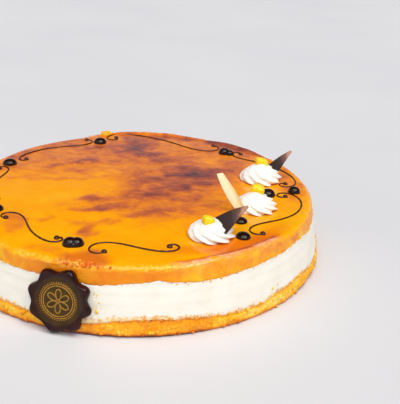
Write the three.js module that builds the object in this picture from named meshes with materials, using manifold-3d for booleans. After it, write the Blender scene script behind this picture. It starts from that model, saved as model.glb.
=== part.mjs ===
// A cream layer cake: sponge, whipped cream and a second sponge under a toasted egg-yolk glaze, with piped
// chocolate scrolls and drops, three cream rosettes with fruit and chocolate shards, and a chocolate seal.
// Millimetres, +Z up. The origin is the centre of the underside, and azimuth -90 is the front.
import * as THREE from "three";
import { mergeVertices } from "three/addons/utils/BufferGeometryUtils.js";
import Module from "manifold-3d";

const wasm = await Module();
wasm.setup();

// ---- driving dimensions ----------------------------------------------------------------------------------

const CAKE_HEIGHT = 43;
const RIM_RADIUS = 125; // at the top
const SEGMENTS = 94; // round the layers
const FIT_GAP = 0.3; // between a pressed-in piece and the cream round it

// The side leans outwards on its way down: [height, radius].
const SIDE_PROFILE = [
  [0, 131.2], [1.5, 132.2], [6, 132.4], [11, 131.6], [20, 129.9], [27, 128.3], [32, 127], [38, 126.2], [43, 125.4],
];
const OUT_OF_ROUND = 0.6;
const CRUMB_RELIEF = 0.55; // of the cut sponge
const CREAM_RELIEF = 0.15; // of the smoothed cream

// Where the layers meet at the side: [azimuth, height], once round.
const CREAM_FOOT_EDGE = [
  [-168, 10], [-146, 9], [-124, 9], [-110, 9], [-97, 8], [-88, 11], [-80, 12], [-68, 10], [-57, 8.5], [-49, 8.5],
  [-41, 11], [-31, 12], [-20, 9], [-4, 9.5], [16, 11], [38, 9], [62, 10.5], [88, 9], [115, 11], [142, 9.5], [168, 11],
];
const CREAM_TOP_EDGE = [
  [-168, 33], [-146, 31.5], [-124, 32], [-110, 32], [-95, 31], [-87, 32.5], [-79, 34], [-70, 32], [-55, 32.5],
  [-41, 34], [-31, 35.3], [-20, 32.5], [-4, 33.5], [16, 32], [38, 34], [62, 32.5], [88, 33.5], [115, 31.5],
  [142, 33], [168, 32],
];
const LEVEL_INSIDE = [120, 108]; // radii between which the wavy edge settles to a level sheet
const CREAM_FOOT = 10;
const CREAM_TOP = 32.5;

// How far the rim of the glaze stands above the top, or is worn down below it: [azimuth, rise]. The glaze is torn
// up into a lip at the front right, and one flake of it stands on the back rim.
const RIM_RISE = [
  [-168, -0.5], [-120, 0], [-71, 0], [-64, 1.4], [-44, 1.4], [-37, 0.2], [0, 0.6], [30, 0.8], [40, 0.6], [47, 1.8],
  [57, 2], [66, 0.8], [76, 1.4], [84, 2.2], [102, 2.2], [112, 0.4], [121, -1.8], [129, -3], [138, -1.6], [146, -1.8],
  [156, -3.6], [168, -1.6],
];
const SHOULDER = { foot: 2.6, foot_inset: 0.3, crest: 0.4, crest_inset: 2.2, top_inset: 7.5 }; // of the rounded rim
const RIM_FLAKE = { azimuth: 109, radius: 121, width: 11, depth: 6, height: 4.4 };

// Piped scrolls. Each is an S with a curl and a bead at both ends: its middle, the heading there, then for its
// first and second half the length and the turn in degrees. A larger late puts the turn nearer the ends, bow
// bends the middle round the cake, and hand -1 mirrors the S.
const LINE_WIDTH = 1.3;
const LINE_HEIGHT = 0.8;
const BEAD_RADIUS = 1.7;
const BEAD_HEIGHT = 1.6;
const SCROLLS = [
  { at: [-54, -89.5], heading: -51, length: [53, 28.7], turn: [306, 251], late: 2.7, bow: 2.1, hand: 1 },
  { at: [19.1, -103.3], heading: -12, length: [57, 28.7], turn: [322, 263], late: 1.73, bow: 2, hand: 1 },
  { at: [112.3, -35.3], heading: 62, length: [61.1, 55.3], turn: [267, 291], late: 3.4, bow: 2.6, hand: 1 },
  { at: [105.3, 48.9], heading: 130, length: [59.1, 60.2], turn: [300, 311], late: 4.1, bow: 1.8, hand: -1 },
  { at: [2.4, 111.5], heading: 155, length: [78, 65], turn: [252, 312], late: 2.95, bow: 1.2, hand: 1 },
  { at: [-89, 62.5], heading: -130, length: [61.1, 32], turn: [219, 224], late: 4.3, bow: 1.9, hand: 1 },
  { at: [-102.2, -11], heading: -94, length: [45.4, 44], turn: [285, 290], late: 4.2, bow: 0.8, hand: 1 },
];

// Drops of chocolate: where each stands, its radius and its height. A second part makes a twin drop.
const DROP_SIDES = 11;
const DROP_LEVELS = 4;
const DROPS = [
  { at: [-87.3, -55], radius: 4.7, height: 3.3 },
  { at: [-30.4, -100.6], radius: 4.6, height: 4.6, twin: { at: [-26.4, -100.2], radius: 4.5, height: 4.4 } },
  { at: [-101.4, 30.7], radius: 5.3, height: 4 },
  { at: [-41.4, 92.5], radius: 5.4, height: 4.1 },
  { at: [65, 79.3], radius: 4.5, height: 4.6 },
  { at: [113.5, 0.7], radius: 4.5, height: 4.2 },
  { at: [73.5, -78.8], radius: 4.8, height: 3.2 },
  { at: [72.8, -55.6], radius: 4.6, height: 2.9 },
  { at: [93.8, -7.7], radius: 5.5, height: 4.8 },
];

// Rosettes piped through a star nozzle, with the fruit and the shard on each. Heights are above the glaze. A
// shard's blunt is half its width at the tip.
const ROSETTES = [
  {
    at: [53.5, -79], radius: 14.8, height: 12.2, ridges: 8, turn: 150, phase: 10,
    fruit: { at: [51.5, -80.7], foot: 8.5, size: [8.2, 7, 6.3], heading: 12 },
    shard: { left: [56.6, -75.7, 11.2], right: [63.2, -86, 6], tip: [75.6, -73.2, 18.6], blunt: 0.7, dark: true },
  },
  {
    at: [83.5, -31.5], radius: 14.8, height: 12, ridges: 9, turn: 125, phase: 0,
    fruit: { at: [84.7, -28.3], foot: 10.2, size: [9.6, 8.8, 6.4], heading: -10 },
    shard: { left: [68, -40.6, 5.6], right: [74.1, -42.5, 6], tip: [58, -29.6, 23.2], blunt: 2.4, dark: false },
  },
  {
    at: [90.6, 23.5], radius: 15.6, height: 13.6, ridges: 8, turn: 130, phase: 25,
    fruit: { at: [90.4, 25.4], foot: 11, size: [10.2, 8.4, 6.2], heading: 5 },
    shard: { left: [97.2, 28.6, 10.4], right: [103.7, 24.1, 7.4], tip: [112.8, 32.2, 21], blunt: 0.7, dark: true },
  },
];
const ROSETTE_PROFILE = [ // share of the height, share of the radius
  [0, 0.9], [0.1, 1], [0.25, 0.99], [0.42, 0.89], [0.58, 0.73], [0.72, 0.54], [0.84, 0.36], [0.94, 0.18],
];
const RIDGE_DEPTH = 0.15; // share of the radius
const SHARD_THICKNESS = 1.3;
const SHARD_SUNK = 2.2; // how far its foot goes into the cream

// The seal stands against the side, tipped back as the side leans.
const SEAL = {
  azimuth: -104.2, height: 19.9, back_radius: 128.9, lean: 10, thickness: 5,
  lobes: [27, 70, 121.5, 165, 208, 260, 308, 348], // directions of the eight lobes, from its right, upwards
  lobe_radius: 20.2, valley_radius: 17.1, rim_radius: 15.6, disc_radius: 13.9, disc_depth: 1.2,
};

// ---- helpers ---------------------------------------------------------------------------------------------

const { PI, cos, sin, min, max, abs, floor } = Math;
const radians = THREE.MathUtils.degToRad;
const mix = THREE.MathUtils.lerp;
const smooth = THREE.MathUtils.smoothstep;

// The same value between -1 and 1 for the same three numbers, on every run.
function hash(i, j, seed) {
  const s = sin(i * 127.1 + j * 311.7 + seed * 74.7) * 43758.5453;
  return 2 * (s - floor(s)) - 1;
}

// Smooth noise from -1 to 1 round the cake: cells is how many bumps fit once round.
function noise(azimuth, height, cells, seed) {
  const u = ((azimuth / (2 * PI)) * cells + 8 * cells) % cells;
  const [i, j] = [floor(u), floor(height)];
  const [fu, fv] = [smooth(u - i, 0, 1), smooth(height - j, 0, 1)];
  const low = mix(hash(i, j, seed), hash((i + 1) % cells, j, seed), fu);
  const high = mix(hash(i, j + 1, seed), hash((i + 1) % cells, j + 1, seed), fu);
  return mix(low, high, fv);
}

// The value at x of a gently eased curve through pairs of numbers in rising order.
function through(pairs, x) {
  const inside = pairs.slice(1, -1).filter(([at]) => at <= x).length;
  const [[x0, y0], [x1, y1]] = pairs.slice(inside, inside + 2);
  const share = min(max((x - x0) / (x1 - x0), 0), 1);
  return mix(y0, y1, mix(share, smooth(share, 0, 1), 0.5));
}

// The same for a curve that closes on itself, with x in degrees.
function throughRound(pairs, degrees) {
  const [first] = pairs;
  const x = ((((degrees - first[0]) % 360) + 360) % 360) + first[0];
  return through([...pairs, [first[0] + 360, first[1]]], x);
}

// A closed body from rings of points, each counter-clockwise from above, from its lowest middle out, up and in
// to its highest middle. The first turned bands have their diagonals the other way.
function ringSolid(rings, lowest, highest, turned = 0) {
  const n = rings[0].length;
  const points = [...rings.flat(), lowest, highest];
  const [bottom, top] = [points.length - 2, points.length - 1];
  const faces = [];
  rings.slice(1).forEach((_, k) => {
    for (let i = 0; i < n; i++) {
      const j = (i + 1) % n;
      const [a, b, c, d] = [k * n + i, k * n + j, (k + 1) * n + j, (k + 1) * n + i];
      if (k < turned) faces.push(a, b, d, b, c, d);
      else faces.push(a, b, c, a, c, d);
    }
  });
  const lastRing = (rings.length - 1) * n;
  for (let i = 0; i < n; i++) {
    const j = (i + 1) % n;
    faces.push(bottom, j, i, top, lastRing + i, lastRing + j);
  }
  return new THREE.BufferGeometry().setFromPoints(points).setIndex(faces);
}

function toSolid(geometry) {
  const bare = geometry.clone();
  bare.deleteAttribute("normal");
  bare.deleteAttribute("uv");
  const merged = mergeVertices(bare, 1e-4);
  return new wasm.Manifold(
    new wasm.Mesh({
      numProp: 3,
      vertProperties: merged.attributes.position.array,
      triVerts: new Uint32Array(merged.index.array),
    }),
  );
}

function toGeometry(solid) {
  const mesh = solid.getMesh();
  return new THREE.BufferGeometry()
    .setAttribute("position", new THREE.BufferAttribute(mesh.vertProperties, 3))
    .setIndex(new THREE.BufferAttribute(mesh.triVerts, 1));
}

// ---- materials -------------------------------------------------------------------------------------------

function finish(color, roughness) {
  return new THREE.MeshStandardMaterial({ color, roughness, metalness: 0, flatShading: true });
}
const spongeFinish = finish("#e8a92c", 0.9);
const glazeFinish = finish("#f09c14", 0.3);
const creamFinish = finish("#f7f4ec", 0.6);
const darkChocolateFinish = finish("#33201b", 0.3);
const whiteChocolateFinish = finish("#f7e6b4", 0.45);
const fruitFinish = finish("#f8cd0a", 0.35);

function piece(name, geometry, material) {
  geometry.computeVertexNormals();
  const mesh = new THREE.Mesh(geometry, material);
  mesh.name = name;
  return mesh;
}

// ---- the layers ------------------------------------------------------------------------------------------

function sideRadius(azimuth, height) {
  return through(SIDE_PROFILE, height) + OUT_OF_ROUND * noise(azimuth, height / 60 + 0.5, 7, 1);
}

// A ring of points round the cake, where radius and height are functions of the azimuth.
function ring(radius, height) {
  return Array.from({ length: SEGMENTS }, (_, i) => {
    const azimuth = (i * 2 * PI) / SEGMENTS;
    const r = radius(azimuth);
    return new THREE.Vector3(r * cos(azimuth), r * sin(azimuth), height(azimuth));
  });
}

const creamFootEdge = (azimuth) =>
  throughRound(CREAM_FOOT_EDGE, THREE.MathUtils.radToDeg(azimuth)) + 0.5 * noise(azimuth, 0.5, 48, 2);
const creamTopEdge = (azimuth) =>
  throughRound(CREAM_TOP_EDGE, THREE.MathUtils.radToDeg(azimuth)) + 0.5 * noise(azimuth, 0.5, 48, 3);

// The rings of the sheet where two layers meet, from the edge inwards, so that both layers share its points.
function sheetRings(edge, level) {
  const [wavy, flat] = LEVEL_INSIDE;
  return [
    ring((a) => sideRadius(a, edge(a)), edge),
    ring(() => wavy, (a) => mix(edge(a), level, 0.6)),
    ring(() => flat, () => level),
  ];
}

// A ring on the side, at a share of the way from one height to another, roughened by crumb or knife marks.
function sideRing(low, high, share, relief, cells, seed) {
  const height = (a) => mix(low(a), high(a), share);
  return ring((a) => sideRadius(a, height(a)) + relief * noise(a, share * 3, cells, seed), height);
}

const footSheet = sheetRings(creamFootEdge, CREAM_FOOT);
const topSheet = sheetRings(creamTopEdge, CREAM_TOP);
const middleAt = (height) => new THREE.Vector3(0, 0, height);

function baseSponge() {
  const floor0 = () => 0;
  const rings = [
    ring((a) => sideRadius(a, 0), floor0),
    sideRing(floor0, creamFootEdge, 0.16, CRUMB_RELIEF, 60, 4),
    sideRing(floor0, creamFootEdge, 0.6, CRUMB_RELIEF, 70, 5),
    ...footSheet,
  ];
  return ringSolid(rings, middleAt(0), middleAt(CREAM_FOOT));
}

function creamLayer() {
  const rings = [
    ...footSheet.toReversed(),
    ...[0.25, 0.5, 0.75].map((share) => sideRing(creamFootEdge, creamTopEdge, share, CREAM_RELIEF, 18, 6)),
    ...topSheet,
  ];
  return ringSolid(rings, middleAt(CREAM_FOOT), middleAt(CREAM_TOP), LEVEL_INSIDE.length);
}

function topSponge() {
  const { foot, foot_inset, crest, crest_inset, top_inset } = SHOULDER;
  const rise = (azimuth) => throughRound(RIM_RISE, THREE.MathUtils.radToDeg(azimuth));
  const below = (drop, share) => (a) => CAKE_HEIGHT - drop + share * rise(a);
  const shoulderFoot = below(foot, 0.9);
  const rings = [
    ...topSheet.toReversed(),
    sideRing(creamTopEdge, shoulderFoot, 0.5, CRUMB_RELIEF, 60, 7),
    ring((a) => RIM_RADIUS + foot_inset + 0.4 * noise(a, 0.5, 40, 9), shoulderFoot),
    ring(() => RIM_RADIUS - crest_inset, below(crest, 1)),
    ring(() => RIM_RADIUS - top_inset, () => CAKE_HEIGHT),
  ];
  return ringSolid(rings, middleAt(CREAM_TOP), middleAt(CAKE_HEIGHT), LEVEL_INSIDE.length);
}

// ---- piped chocolate -------------------------------------------------------------------------------------

// The points of one half of a scroll, from its middle to its end, with the heading at each. The heading turns
// slowly at first and ever faster towards the end, which draws the curl.
function scrollHalf(scroll, half, side) {
  const [length, turn] = [scroll.length[half], radians(scroll.turn[half])];
  const start = radians(scroll.heading);
  const heading = (t) =>
    start + (side * scroll.bow * length * t) / 100 + scroll.hand * turn * t ** (scroll.late + 1);
  const fine = 240;
  const stations = [];
  let [x, y] = scroll.at;
  let due = 0;
  for (let k = 0; k <= fine; k++) {
    const t = k / fine;
    const angle = heading(t);
    if (due <= 0 || k === fine) {
      stations.push({ x, y, angle });
      due = 1;
    }
    const step = (side * length) / fine;
    x += step * cos(angle);
    y += step * sin(angle);
    due -= abs(step) / 8.5 + abs(heading(t + 1 / fine) - angle) / radians(32);
  }
  return stations;
}

function scrollStations(scroll) {
  const first = scrollHalf(scroll, 0, -1);
  const second = scrollHalf(scroll, 1, 1);
  return [...first.reverse(), ...second.slice(1)];
}

// A line of chocolate with a flat foot under the glaze's surface and a round back.
function scrollLine(stations) {
  const section = [[-0.5, -0.4], [0.5, -0.4], [0.42, 0.55], [0, 1], [-0.42, 0.55]];
  const rings = stations.map(({ x, y, angle }) =>
    section.map(([across, up]) => {
      const w = across * LINE_WIDTH;
      const z = CAKE_HEIGHT + up * LINE_HEIGHT;
      return new THREE.Vector3(x - w * sin(angle), y + w * cos(angle), z);
    }),
  );
  const centre = ({ x, y }) => new THREE.Vector3(x, y, CAKE_HEIGHT + 0.2 * LINE_HEIGHT);
  return ringSolid(rings, centre(stations[0]), centre(stations.at(-1)));
}

// A round drop on rings that close over its top. Its foot is flat on the glaze, or a little below its surface.
function dome([x, y], radius, height, foot, sides, levels) {
  const rings = [[foot, 1]];
  for (let k = 1; k < levels; k++) {
    const lift = (k / levels) * (PI / 2);
    rings.push([height * sin(lift), cos(lift) ** 0.8]);
  }
  const points = rings.map(([z, share]) =>
    Array.from({ length: sides }, (_, i) => {
      const a = (i * 2 * PI) / sides;
      const r = radius * share;
      return new THREE.Vector3(x + r * cos(a), y + r * sin(a), CAKE_HEIGHT + z);
    }),
  );
  return ringSolid(
    points,
    new THREE.Vector3(x, y, CAKE_HEIGHT + foot),
    new THREE.Vector3(x, y, CAKE_HEIGHT + height),
  );
}

// One scroll: its line, joined with the bead at either end.
function pipedScroll(scroll) {
  const stations = scrollStations(scroll);
  return [stations[0], stations.at(-1)].reduce(
    (joined, { x, y }) => joined.add(toSolid(dome([x, y], BEAD_RADIUS, BEAD_HEIGHT, -0.5, 7, 3))),
    toSolid(scrollLine(stations)),
  );
}

// The glazed top with all that is piped straight onto it, and the torn flake on its back rim.
function decoratedTop() {
  const top = SCROLLS.reduce((joined, scroll) => joined.add(pipedScroll(scroll)), toSolid(topSponge()));
  const flakeAt = radians(RIM_FLAKE.azimuth);
  const flake = dome([0, 0], 1, RIM_FLAKE.height, -1, 8, 3);
  flake.scale(RIM_FLAKE.depth / 2, RIM_FLAKE.width / 2, 1);
  flake.rotateZ(flakeAt);
  flake.translate(RIM_FLAKE.radius * cos(flakeAt), RIM_FLAKE.radius * sin(flakeAt), 0);
  return top.add(toSolid(flake));
}

function chocolateDrop({ at, radius, height, twin }) {
  const one = toSolid(dome(at, radius, height, 0, DROP_SIDES, DROP_LEVELS));
  if (!twin) return one;
  return one.add(toSolid(dome(twin.at, twin.radius, twin.height, 0, DROP_SIDES, DROP_LEVELS)));
}

// ---- rosettes, fruit and shards --------------------------------------------------------------------------

// Star-nozzle ridges wind up from the foot to a soft peak.
function rosetteBody({ at: [x, y], radius, height, ridges, turn, phase }) {
  const sides = ridges * 6;
  const rings = ROSETTE_PROFILE.map(([up, out]) =>
    Array.from({ length: sides }, (_, i) => {
      const across = (i * 2 * PI) / sides;
      const a = across + radians(phase) - radians(turn) * up;
      const ridge = cos(ridges * across);
      const share = 1 + RIDGE_DEPTH * (abs(ridge) ** 0.7 * Math.sign(ridge) - 1) * 0.5;
      const r = radius * out * share * (1 + 0.05 * noise(a + 2 * PI, up * 2, 5, phase + 1));
      return new THREE.Vector3(x + r * cos(a), y + r * sin(a), CAKE_HEIGHT + up * height);
    }),
  );
  return ringSolid(
    rings,
    new THREE.Vector3(x, y, CAKE_HEIGHT),
    new THREE.Vector3(x, y, CAKE_HEIGHT + height),
  );
}

// A chunk of fruit: four sides with rounded corners that draw in to a blunt top, grown on all sides by extra.
function fruitWedge({ at: [x, y], foot, size: [width, depth, height], heading }, extra = 0) {
  const levels = [[0, 0.9], [0.15, 1], [0.55, 0.92], [0.85, 0.66], [1, 0.36]];
  const sides = 16;
  const rings = levels.map(([up, out]) =>
    Array.from({ length: sides }, (_, i) => {
      const a = (i * 2 * PI) / sides;
      const square = 1 / max(abs(cos(a)), abs(sin(a))) ** 0.6;
      const px = (0.5 * width * out * square + extra) * cos(a);
      const py = (0.5 * depth * out * square + extra) * sin(a);
      return new THREE.Vector3(px, py, (up - 0.5) * (height + 2 * extra));
    }),
  );
  const half = 0.5 * height + extra;
  const wedge = ringSolid(rings, middleAt(-half), middleAt(half));
  wedge.rotateZ(radians(heading));
  wedge.translate(x, y, CAKE_HEIGHT + foot + 0.5 * height);
  return wedge;
}

// A tapering shard of thin chocolate between the two corners where it leaves the cream and its tip. Its
// foot has a broken, wavy edge below them. It is grown on all sides by extra.
function chocolateShard({ left, right, tip, blunt }, extra = 0) {
  const [a, b, c] = [left, right, tip].map(([x, y, z]) => new THREE.Vector3(x, y, z + CAKE_HEIGHT));
  const foot = a.clone().lerp(b, 0.5);
  const across = b.clone().sub(a);
  const width = across.length();
  across.normalize();
  const along = c.clone().sub(foot);
  const length = along.length();
  along.normalize();
  const face = across.clone().cross(along).normalize();
  const [columns, rows] = [4, 6];
  const half = SHARD_THICKNESS / 2 + extra;
  const reach = length + SHARD_SUNK;
  const slope = along.dot(across);
  const front = [];
  const back = [];
  for (let row = 0; row <= rows; row++)
    for (let column = 0; column <= columns; column++) {
      const share = row / rows;
      const s = column / columns - 0.5;
      const wave = row === 0 ? 0.5 * sin(column * 2.6) : 0;
      const w = (width * 0.5 + 0.6) * (1 - share) + blunt * share + extra;
      const y = -SHARD_SUNK - extra + (reach + 2 * extra) * share + wave;
      const bend = 1.1 * sin(share * PI);
      const middle = foot.clone().addScaledVector(along, y).addScaledVector(face, bend);
      middle.addScaledVector(across, 2 * s * w).addScaledVector(along, -2 * s * w * slope * 0.5);
      front.push(middle.clone().addScaledVector(face, half));
      back.push(middle.clone().addScaledVector(face, -half));
    }
  return plateSolid(front, back, columns, rows);
}

// A closed plate from two grids of points, the front one facing out.
function plateSolid(front, back, columns, rows) {
  const n = columns + 1;
  const under = front.length;
  const faces = [];
  for (let row = 0; row < rows; row++)
    for (let column = 0; column < columns; column++) {
      const a = row * n + column;
      const [b, c, d] = [a + 1, a + 1 + n, a + n];
      faces.push(a, b, c, a, c, d, under + a, under + c, under + b, under + a, under + d, under + c);
    }
  const edge = [];
  for (let column = 0; column < columns; column++) edge.push(column);
  for (let row = 0; row < rows; row++) edge.push(row * n + columns);
  for (let column = columns; column > 0; column--) edge.push(rows * n + column);
  for (let row = rows; row > 0; row--) edge.push(row * n);
  edge.forEach((p, k) => {
    const q = edge[(k + 1) % edge.length];
    faces.push(p, under + p, under + q, p, under + q, q);
  });
  return new THREE.BufferGeometry().setFromPoints([...front, ...back]).setIndex(faces);
}

// ---- the seal --------------------------------------------------------------------------------------------

function sealOutline(angle) {
  const turns = SEAL.lobes.map((lobe) => abs(((((angle - lobe) % 360) + 540) % 360) - 180));
  const [near, next] = turns.toSorted((p, q) => p - q);
  return mix(SEAL.lobe_radius, SEAL.valley_radius, 0.5 - 0.5 * cos((PI * 2 * near) / (near + next)));
}

// Lying flat with its back on the plane z = 0: a lobed rim round a sunk disc.
function sealBody() {
  const { thickness, rim_radius, disc_radius, disc_depth } = SEAL;
  const sides = 60;
  const ringAt = (z, radius) =>
    Array.from({ length: sides }, (_, i) => {
      const a = (i * 2 * PI) / sides;
      const r = radius(sealOutline((a * 180) / PI));
      return new THREE.Vector3(r * cos(a), r * sin(a), z);
    });
  const rings = [
    ringAt(0, (r) => r - 0.9),
    ringAt(1.3, (r) => r),
    ringAt(thickness - 1.4, (r) => r - 0.3),
    ringAt(thickness, (r) => mix(rim_radius, r, 0.45)),
    ringAt(thickness - 0.5, () => rim_radius - 0.6),
    ringAt(thickness - disc_depth, () => disc_radius),
  ];
  return ringSolid(rings, middleAt(0), middleAt(thickness - disc_depth));
}

// What the layers give way to where the seal is pressed into them.
function sealBed() {
  const sides = 48;
  const levels = [-FIT_GAP, SEAL.thickness];
  const rings = levels.map((z) =>
    Array.from({ length: sides }, (_, i) => {
      const a = (i * 2 * PI) / sides;
      const r = sealOutline((a * 180) / PI) + FIT_GAP;
      return new THREE.Vector3(r * cos(a), r * sin(a), z);
    }),
  );
  return ringSolid(rings, middleAt(levels[0]), middleAt(levels[1]));
}

// Turns and moves what lies flat so that it stands against the side, with its face outwards.
function againstTheSide() {
  const [azimuth, lean] = [radians(SEAL.azimuth), radians(SEAL.lean)];
  const outwards = new THREE.Vector3(cos(azimuth), sin(azimuth), 0);
  const upright = new THREE.Vector3(0, 0, 1);
  const right = upright.clone().cross(outwards);
  const face = outwards.clone().multiplyScalar(cos(lean)).addScaledVector(upright, sin(lean));
  const up = face.clone().cross(right);
  const centre = outwards.multiplyScalar(SEAL.back_radius).setZ(SEAL.height);
  return new THREE.Matrix4().makeBasis(right, up, face).setPosition(centre);
}

// ---- the cake --------------------------------------------------------------------------------------------

const cake = new THREE.Group();

const bed = toSolid(sealBed().applyMatrix4(againstTheSide()));
const layers = [
  ["base_sponge", toSolid(baseSponge()), spongeFinish],
  ["cream_layer", toSolid(creamLayer()), creamFinish],
  ["top_sponge", decoratedTop(), glazeFinish],
];
for (const [name, solid, material] of layers) cake.add(piece(name, toGeometry(solid.subtract(bed)), material));

const seal = piece("chocolate_seal", sealBody(), darkChocolateFinish);
seal.applyMatrix4(againstTheSide());
cake.add(seal);

DROPS.forEach((drop, i) => {
  cake.add(piece(`chocolate_drop_${i + 1}`, toGeometry(chocolateDrop(drop)), darkChocolateFinish));
});

ROSETTES.forEach((rosette, i) => {
  const { fruit, shard } = rosette;
  const body = toSolid(rosetteBody(rosette))
    .subtract(toSolid(fruitWedge(fruit, FIT_GAP)))
    .subtract(toSolid(chocolateShard(shard, FIT_GAP)));
  const chocolate = shard.dark ? darkChocolateFinish : whiteChocolateFinish;
  cake.add(piece(`rosette_${i + 1}`, toGeometry(body), creamFinish));
  cake.add(piece(`fruit_wedge_${i + 1}`, fruitWedge(fruit), fruitFinish));
  cake.add(piece(`chocolate_shard_${i + 1}`, chocolateShard(shard), chocolate));
});

export default cake;
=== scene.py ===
# %% [markdown]
# # A cream layer cake
# The real cake is built up in layers: a soaked sponge, a thick sheet of whipped cream, a second sponge, and
# on that a film of egg-yolk jam that is sugared, scorched with a hot iron and sealed under a clear gel.
# Chocolate scrolls and drops are piped on, three rosettes carry fruit and chocolate shards, and a chocolate
# seal leans on the side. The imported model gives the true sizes. Each cell below makes one of those layers
# or toppings finely enough to be looked at, from the same sizes, in millimetres, and hands it over in place
# of the plain solid.

# %% Load the fixed frame
import math
import random
from itertools import combinations

import bpy
import numpy as np
from mathutils import Matrix, Vector, noise


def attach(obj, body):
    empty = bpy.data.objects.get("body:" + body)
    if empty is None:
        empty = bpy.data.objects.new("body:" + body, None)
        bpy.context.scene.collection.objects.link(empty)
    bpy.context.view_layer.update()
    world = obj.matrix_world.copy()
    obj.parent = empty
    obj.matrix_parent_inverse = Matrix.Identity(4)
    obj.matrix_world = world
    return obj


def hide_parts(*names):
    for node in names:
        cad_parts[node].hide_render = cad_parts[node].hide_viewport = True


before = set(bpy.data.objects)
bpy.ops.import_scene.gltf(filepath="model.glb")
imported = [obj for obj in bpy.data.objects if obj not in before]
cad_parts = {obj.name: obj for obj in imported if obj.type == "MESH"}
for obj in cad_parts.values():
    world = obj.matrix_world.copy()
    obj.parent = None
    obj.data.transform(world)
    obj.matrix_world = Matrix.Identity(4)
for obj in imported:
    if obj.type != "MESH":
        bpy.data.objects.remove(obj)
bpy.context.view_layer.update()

# %% [markdown]
# ## Sizes
# One block holds the sizes that several pieces share. They are the sizes of the real cake, so that a change
# here moves the crumb, the cream and the toppings together. The side leans outwards on its way down,
# because soft cream and soaked sponge settle under their own weight. The rim is uneven: the film is torn up
# into a lip at the front right, stands proud at the back and is worn down at the left.

# %% Shared sizes, in millimetres and degrees
MM = 0.001
TURN = 2 * math.pi
CAKE_HEIGHT = 43.0
RIM_RADIUS = 125.0
ROUND_STEPS = 1080
OUT_OF_ROUND = 0.6
CREAM_FOOT = 10.0
CREAM_TOP = 32.5
SIDE_PROFILE = [
    (0, 131.2), (1.5, 132.2), (6, 132.4), (11, 131.6), (20, 129.9), (27, 128.3), (32, 127), (38, 126.2),
    (43, 125.4),
]
CREAM_FOOT_EDGE = [
    (-168, 10), (-146, 9), (-124, 9), (-110, 9), (-97, 8), (-88, 11), (-80, 12), (-68, 10), (-57, 8.5),
    (-49, 8.5), (-41, 11), (-31, 12), (-20, 9), (-4, 9.5), (16, 11), (38, 9), (62, 10.5), (88, 9),
    (115, 11), (142, 9.5), (168, 11),
]
CREAM_TOP_EDGE = [
    (-168, 33), (-146, 31.5), (-124, 32), (-110, 32), (-95, 31), (-87, 32.5), (-79, 34), (-70, 32),
    (-55, 32.5), (-41, 34), (-31, 35.3), (-20, 32.5), (-4, 33.5), (16, 32), (38, 34), (62, 32.5),
    (88, 33.5), (115, 31.5), (142, 33), (168, 32),
]
RIM_RISE = [
    (-168, -0.5), (-120, 0), (-71, 0), (-64, 1.4), (-44, 1.4), (-37, 0.2), (0, 0.6), (30, 0.8), (40, 0.6),
    (47, 1.8), (57, 2), (66, 0.8), (76, 1.4), (84, 2.2), (102, 2.2), (112, 0.4), (121, -1.8), (129, -3),
    (138, -1.6), (146, -1.8), (156, -3.6), (168, -1.6),
]

# %% [markdown]
# ## Unevenness by rule
# Nothing on a hand-made cake is true, but a script has to give the same cake on every run. So the
# unevenness comes from a hash: the same grid cell always gives the same number, and a smooth blend between
# cells turns the numbers into soft bumps. Everything works on whole arrays at once, which keeps a hundred
# thousand points quick.

# %% Small maths helpers
def smooth(value, low=0.0, high=1.0):
    t = np.clip((np.asarray(value, float) - low) / (high - low), 0, 1)
    return t * t * (3 - 2 * t)


def mix(a, b, share):
    return a + (b - a) * share


def hashed(i, j, seed):
    s = np.sin(i * 127.1 + j * 311.7 + seed * 74.7) * 43758.5453
    return 2 * (s - np.floor(s)) - 1


def blend_cells(u, v, seed, wrap=None):
    """Smooth noise from -1 to 1 over cells of size one; wrap joins the last column to the first."""
    i, j = np.floor(u), np.floor(v)
    right = (i + 1) % wrap if wrap else i + 1
    across, up = smooth(u - i), smooth(v - j)
    low = mix(hashed(i, j, seed), hashed(right, j, seed), across)
    high = mix(hashed(i, j + 1, seed), hashed(right, j + 1, seed), across)
    return mix(low, high, up)


def wobble(azimuth, height, cells, seed):
    """Noise round the cake; cells is how many bumps fit once round."""
    return blend_cells((azimuth / TURN * cells + 8 * cells) % cells, np.asarray(height, float), seed, cells)


def cloud(x, y, size, seed, octaves=3):
    """Patchy noise over the top: bumps of about size millimetres with finer ones on them."""
    total, weight, most = 0.0, 1.0, 0.0
    for octave in range(octaves):
        total = total + weight * blend_cells(x / size + 50, y / size + 50, seed + octave)
        most += weight
        weight *= 0.55
        size *= 0.5
    return total / most


def through(pairs, x):
    """The value at x of a gently eased curve through pairs in rising order."""
    at, value = (np.array(column, float) for column in zip(*pairs))
    x = np.clip(np.asarray(x, float), at[0], at[-1])
    k = np.clip(np.searchsorted(at, x, side="right") - 1, 0, len(at) - 2)
    share = (x - at[k]) / (at[k + 1] - at[k])
    return mix(value[k], value[k + 1], mix(share, smooth(share), 0.5))


def through_round(pairs, azimuth):
    first = pairs[0]
    degrees = (np.degrees(azimuth) - first[0]) % 360 + first[0]
    return through([*pairs, (first[0] + 360, first[1])], degrees)


def degrees_away(degrees, middle):
    """How far one direction is from another, the short way round."""
    return np.abs((degrees - middle + 180) % 360 - 180)


def stretch_of_rim(azimuth, middle, half_width, fade):
    """One along a stretch of the rim, in degrees, fading to nothing beyond its ends."""
    return 1 - smooth(degrees_away(np.degrees(azimuth), middle), half_width, half_width + fade)


def turns(count):
    """Evenly spaced angles once round."""
    return np.arange(count) * TURN / count


print("noise at three places:", np.round(wobble(np.array([0.1, 2.0, 4.0]), 0.5, 7, 1), 3))

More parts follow.
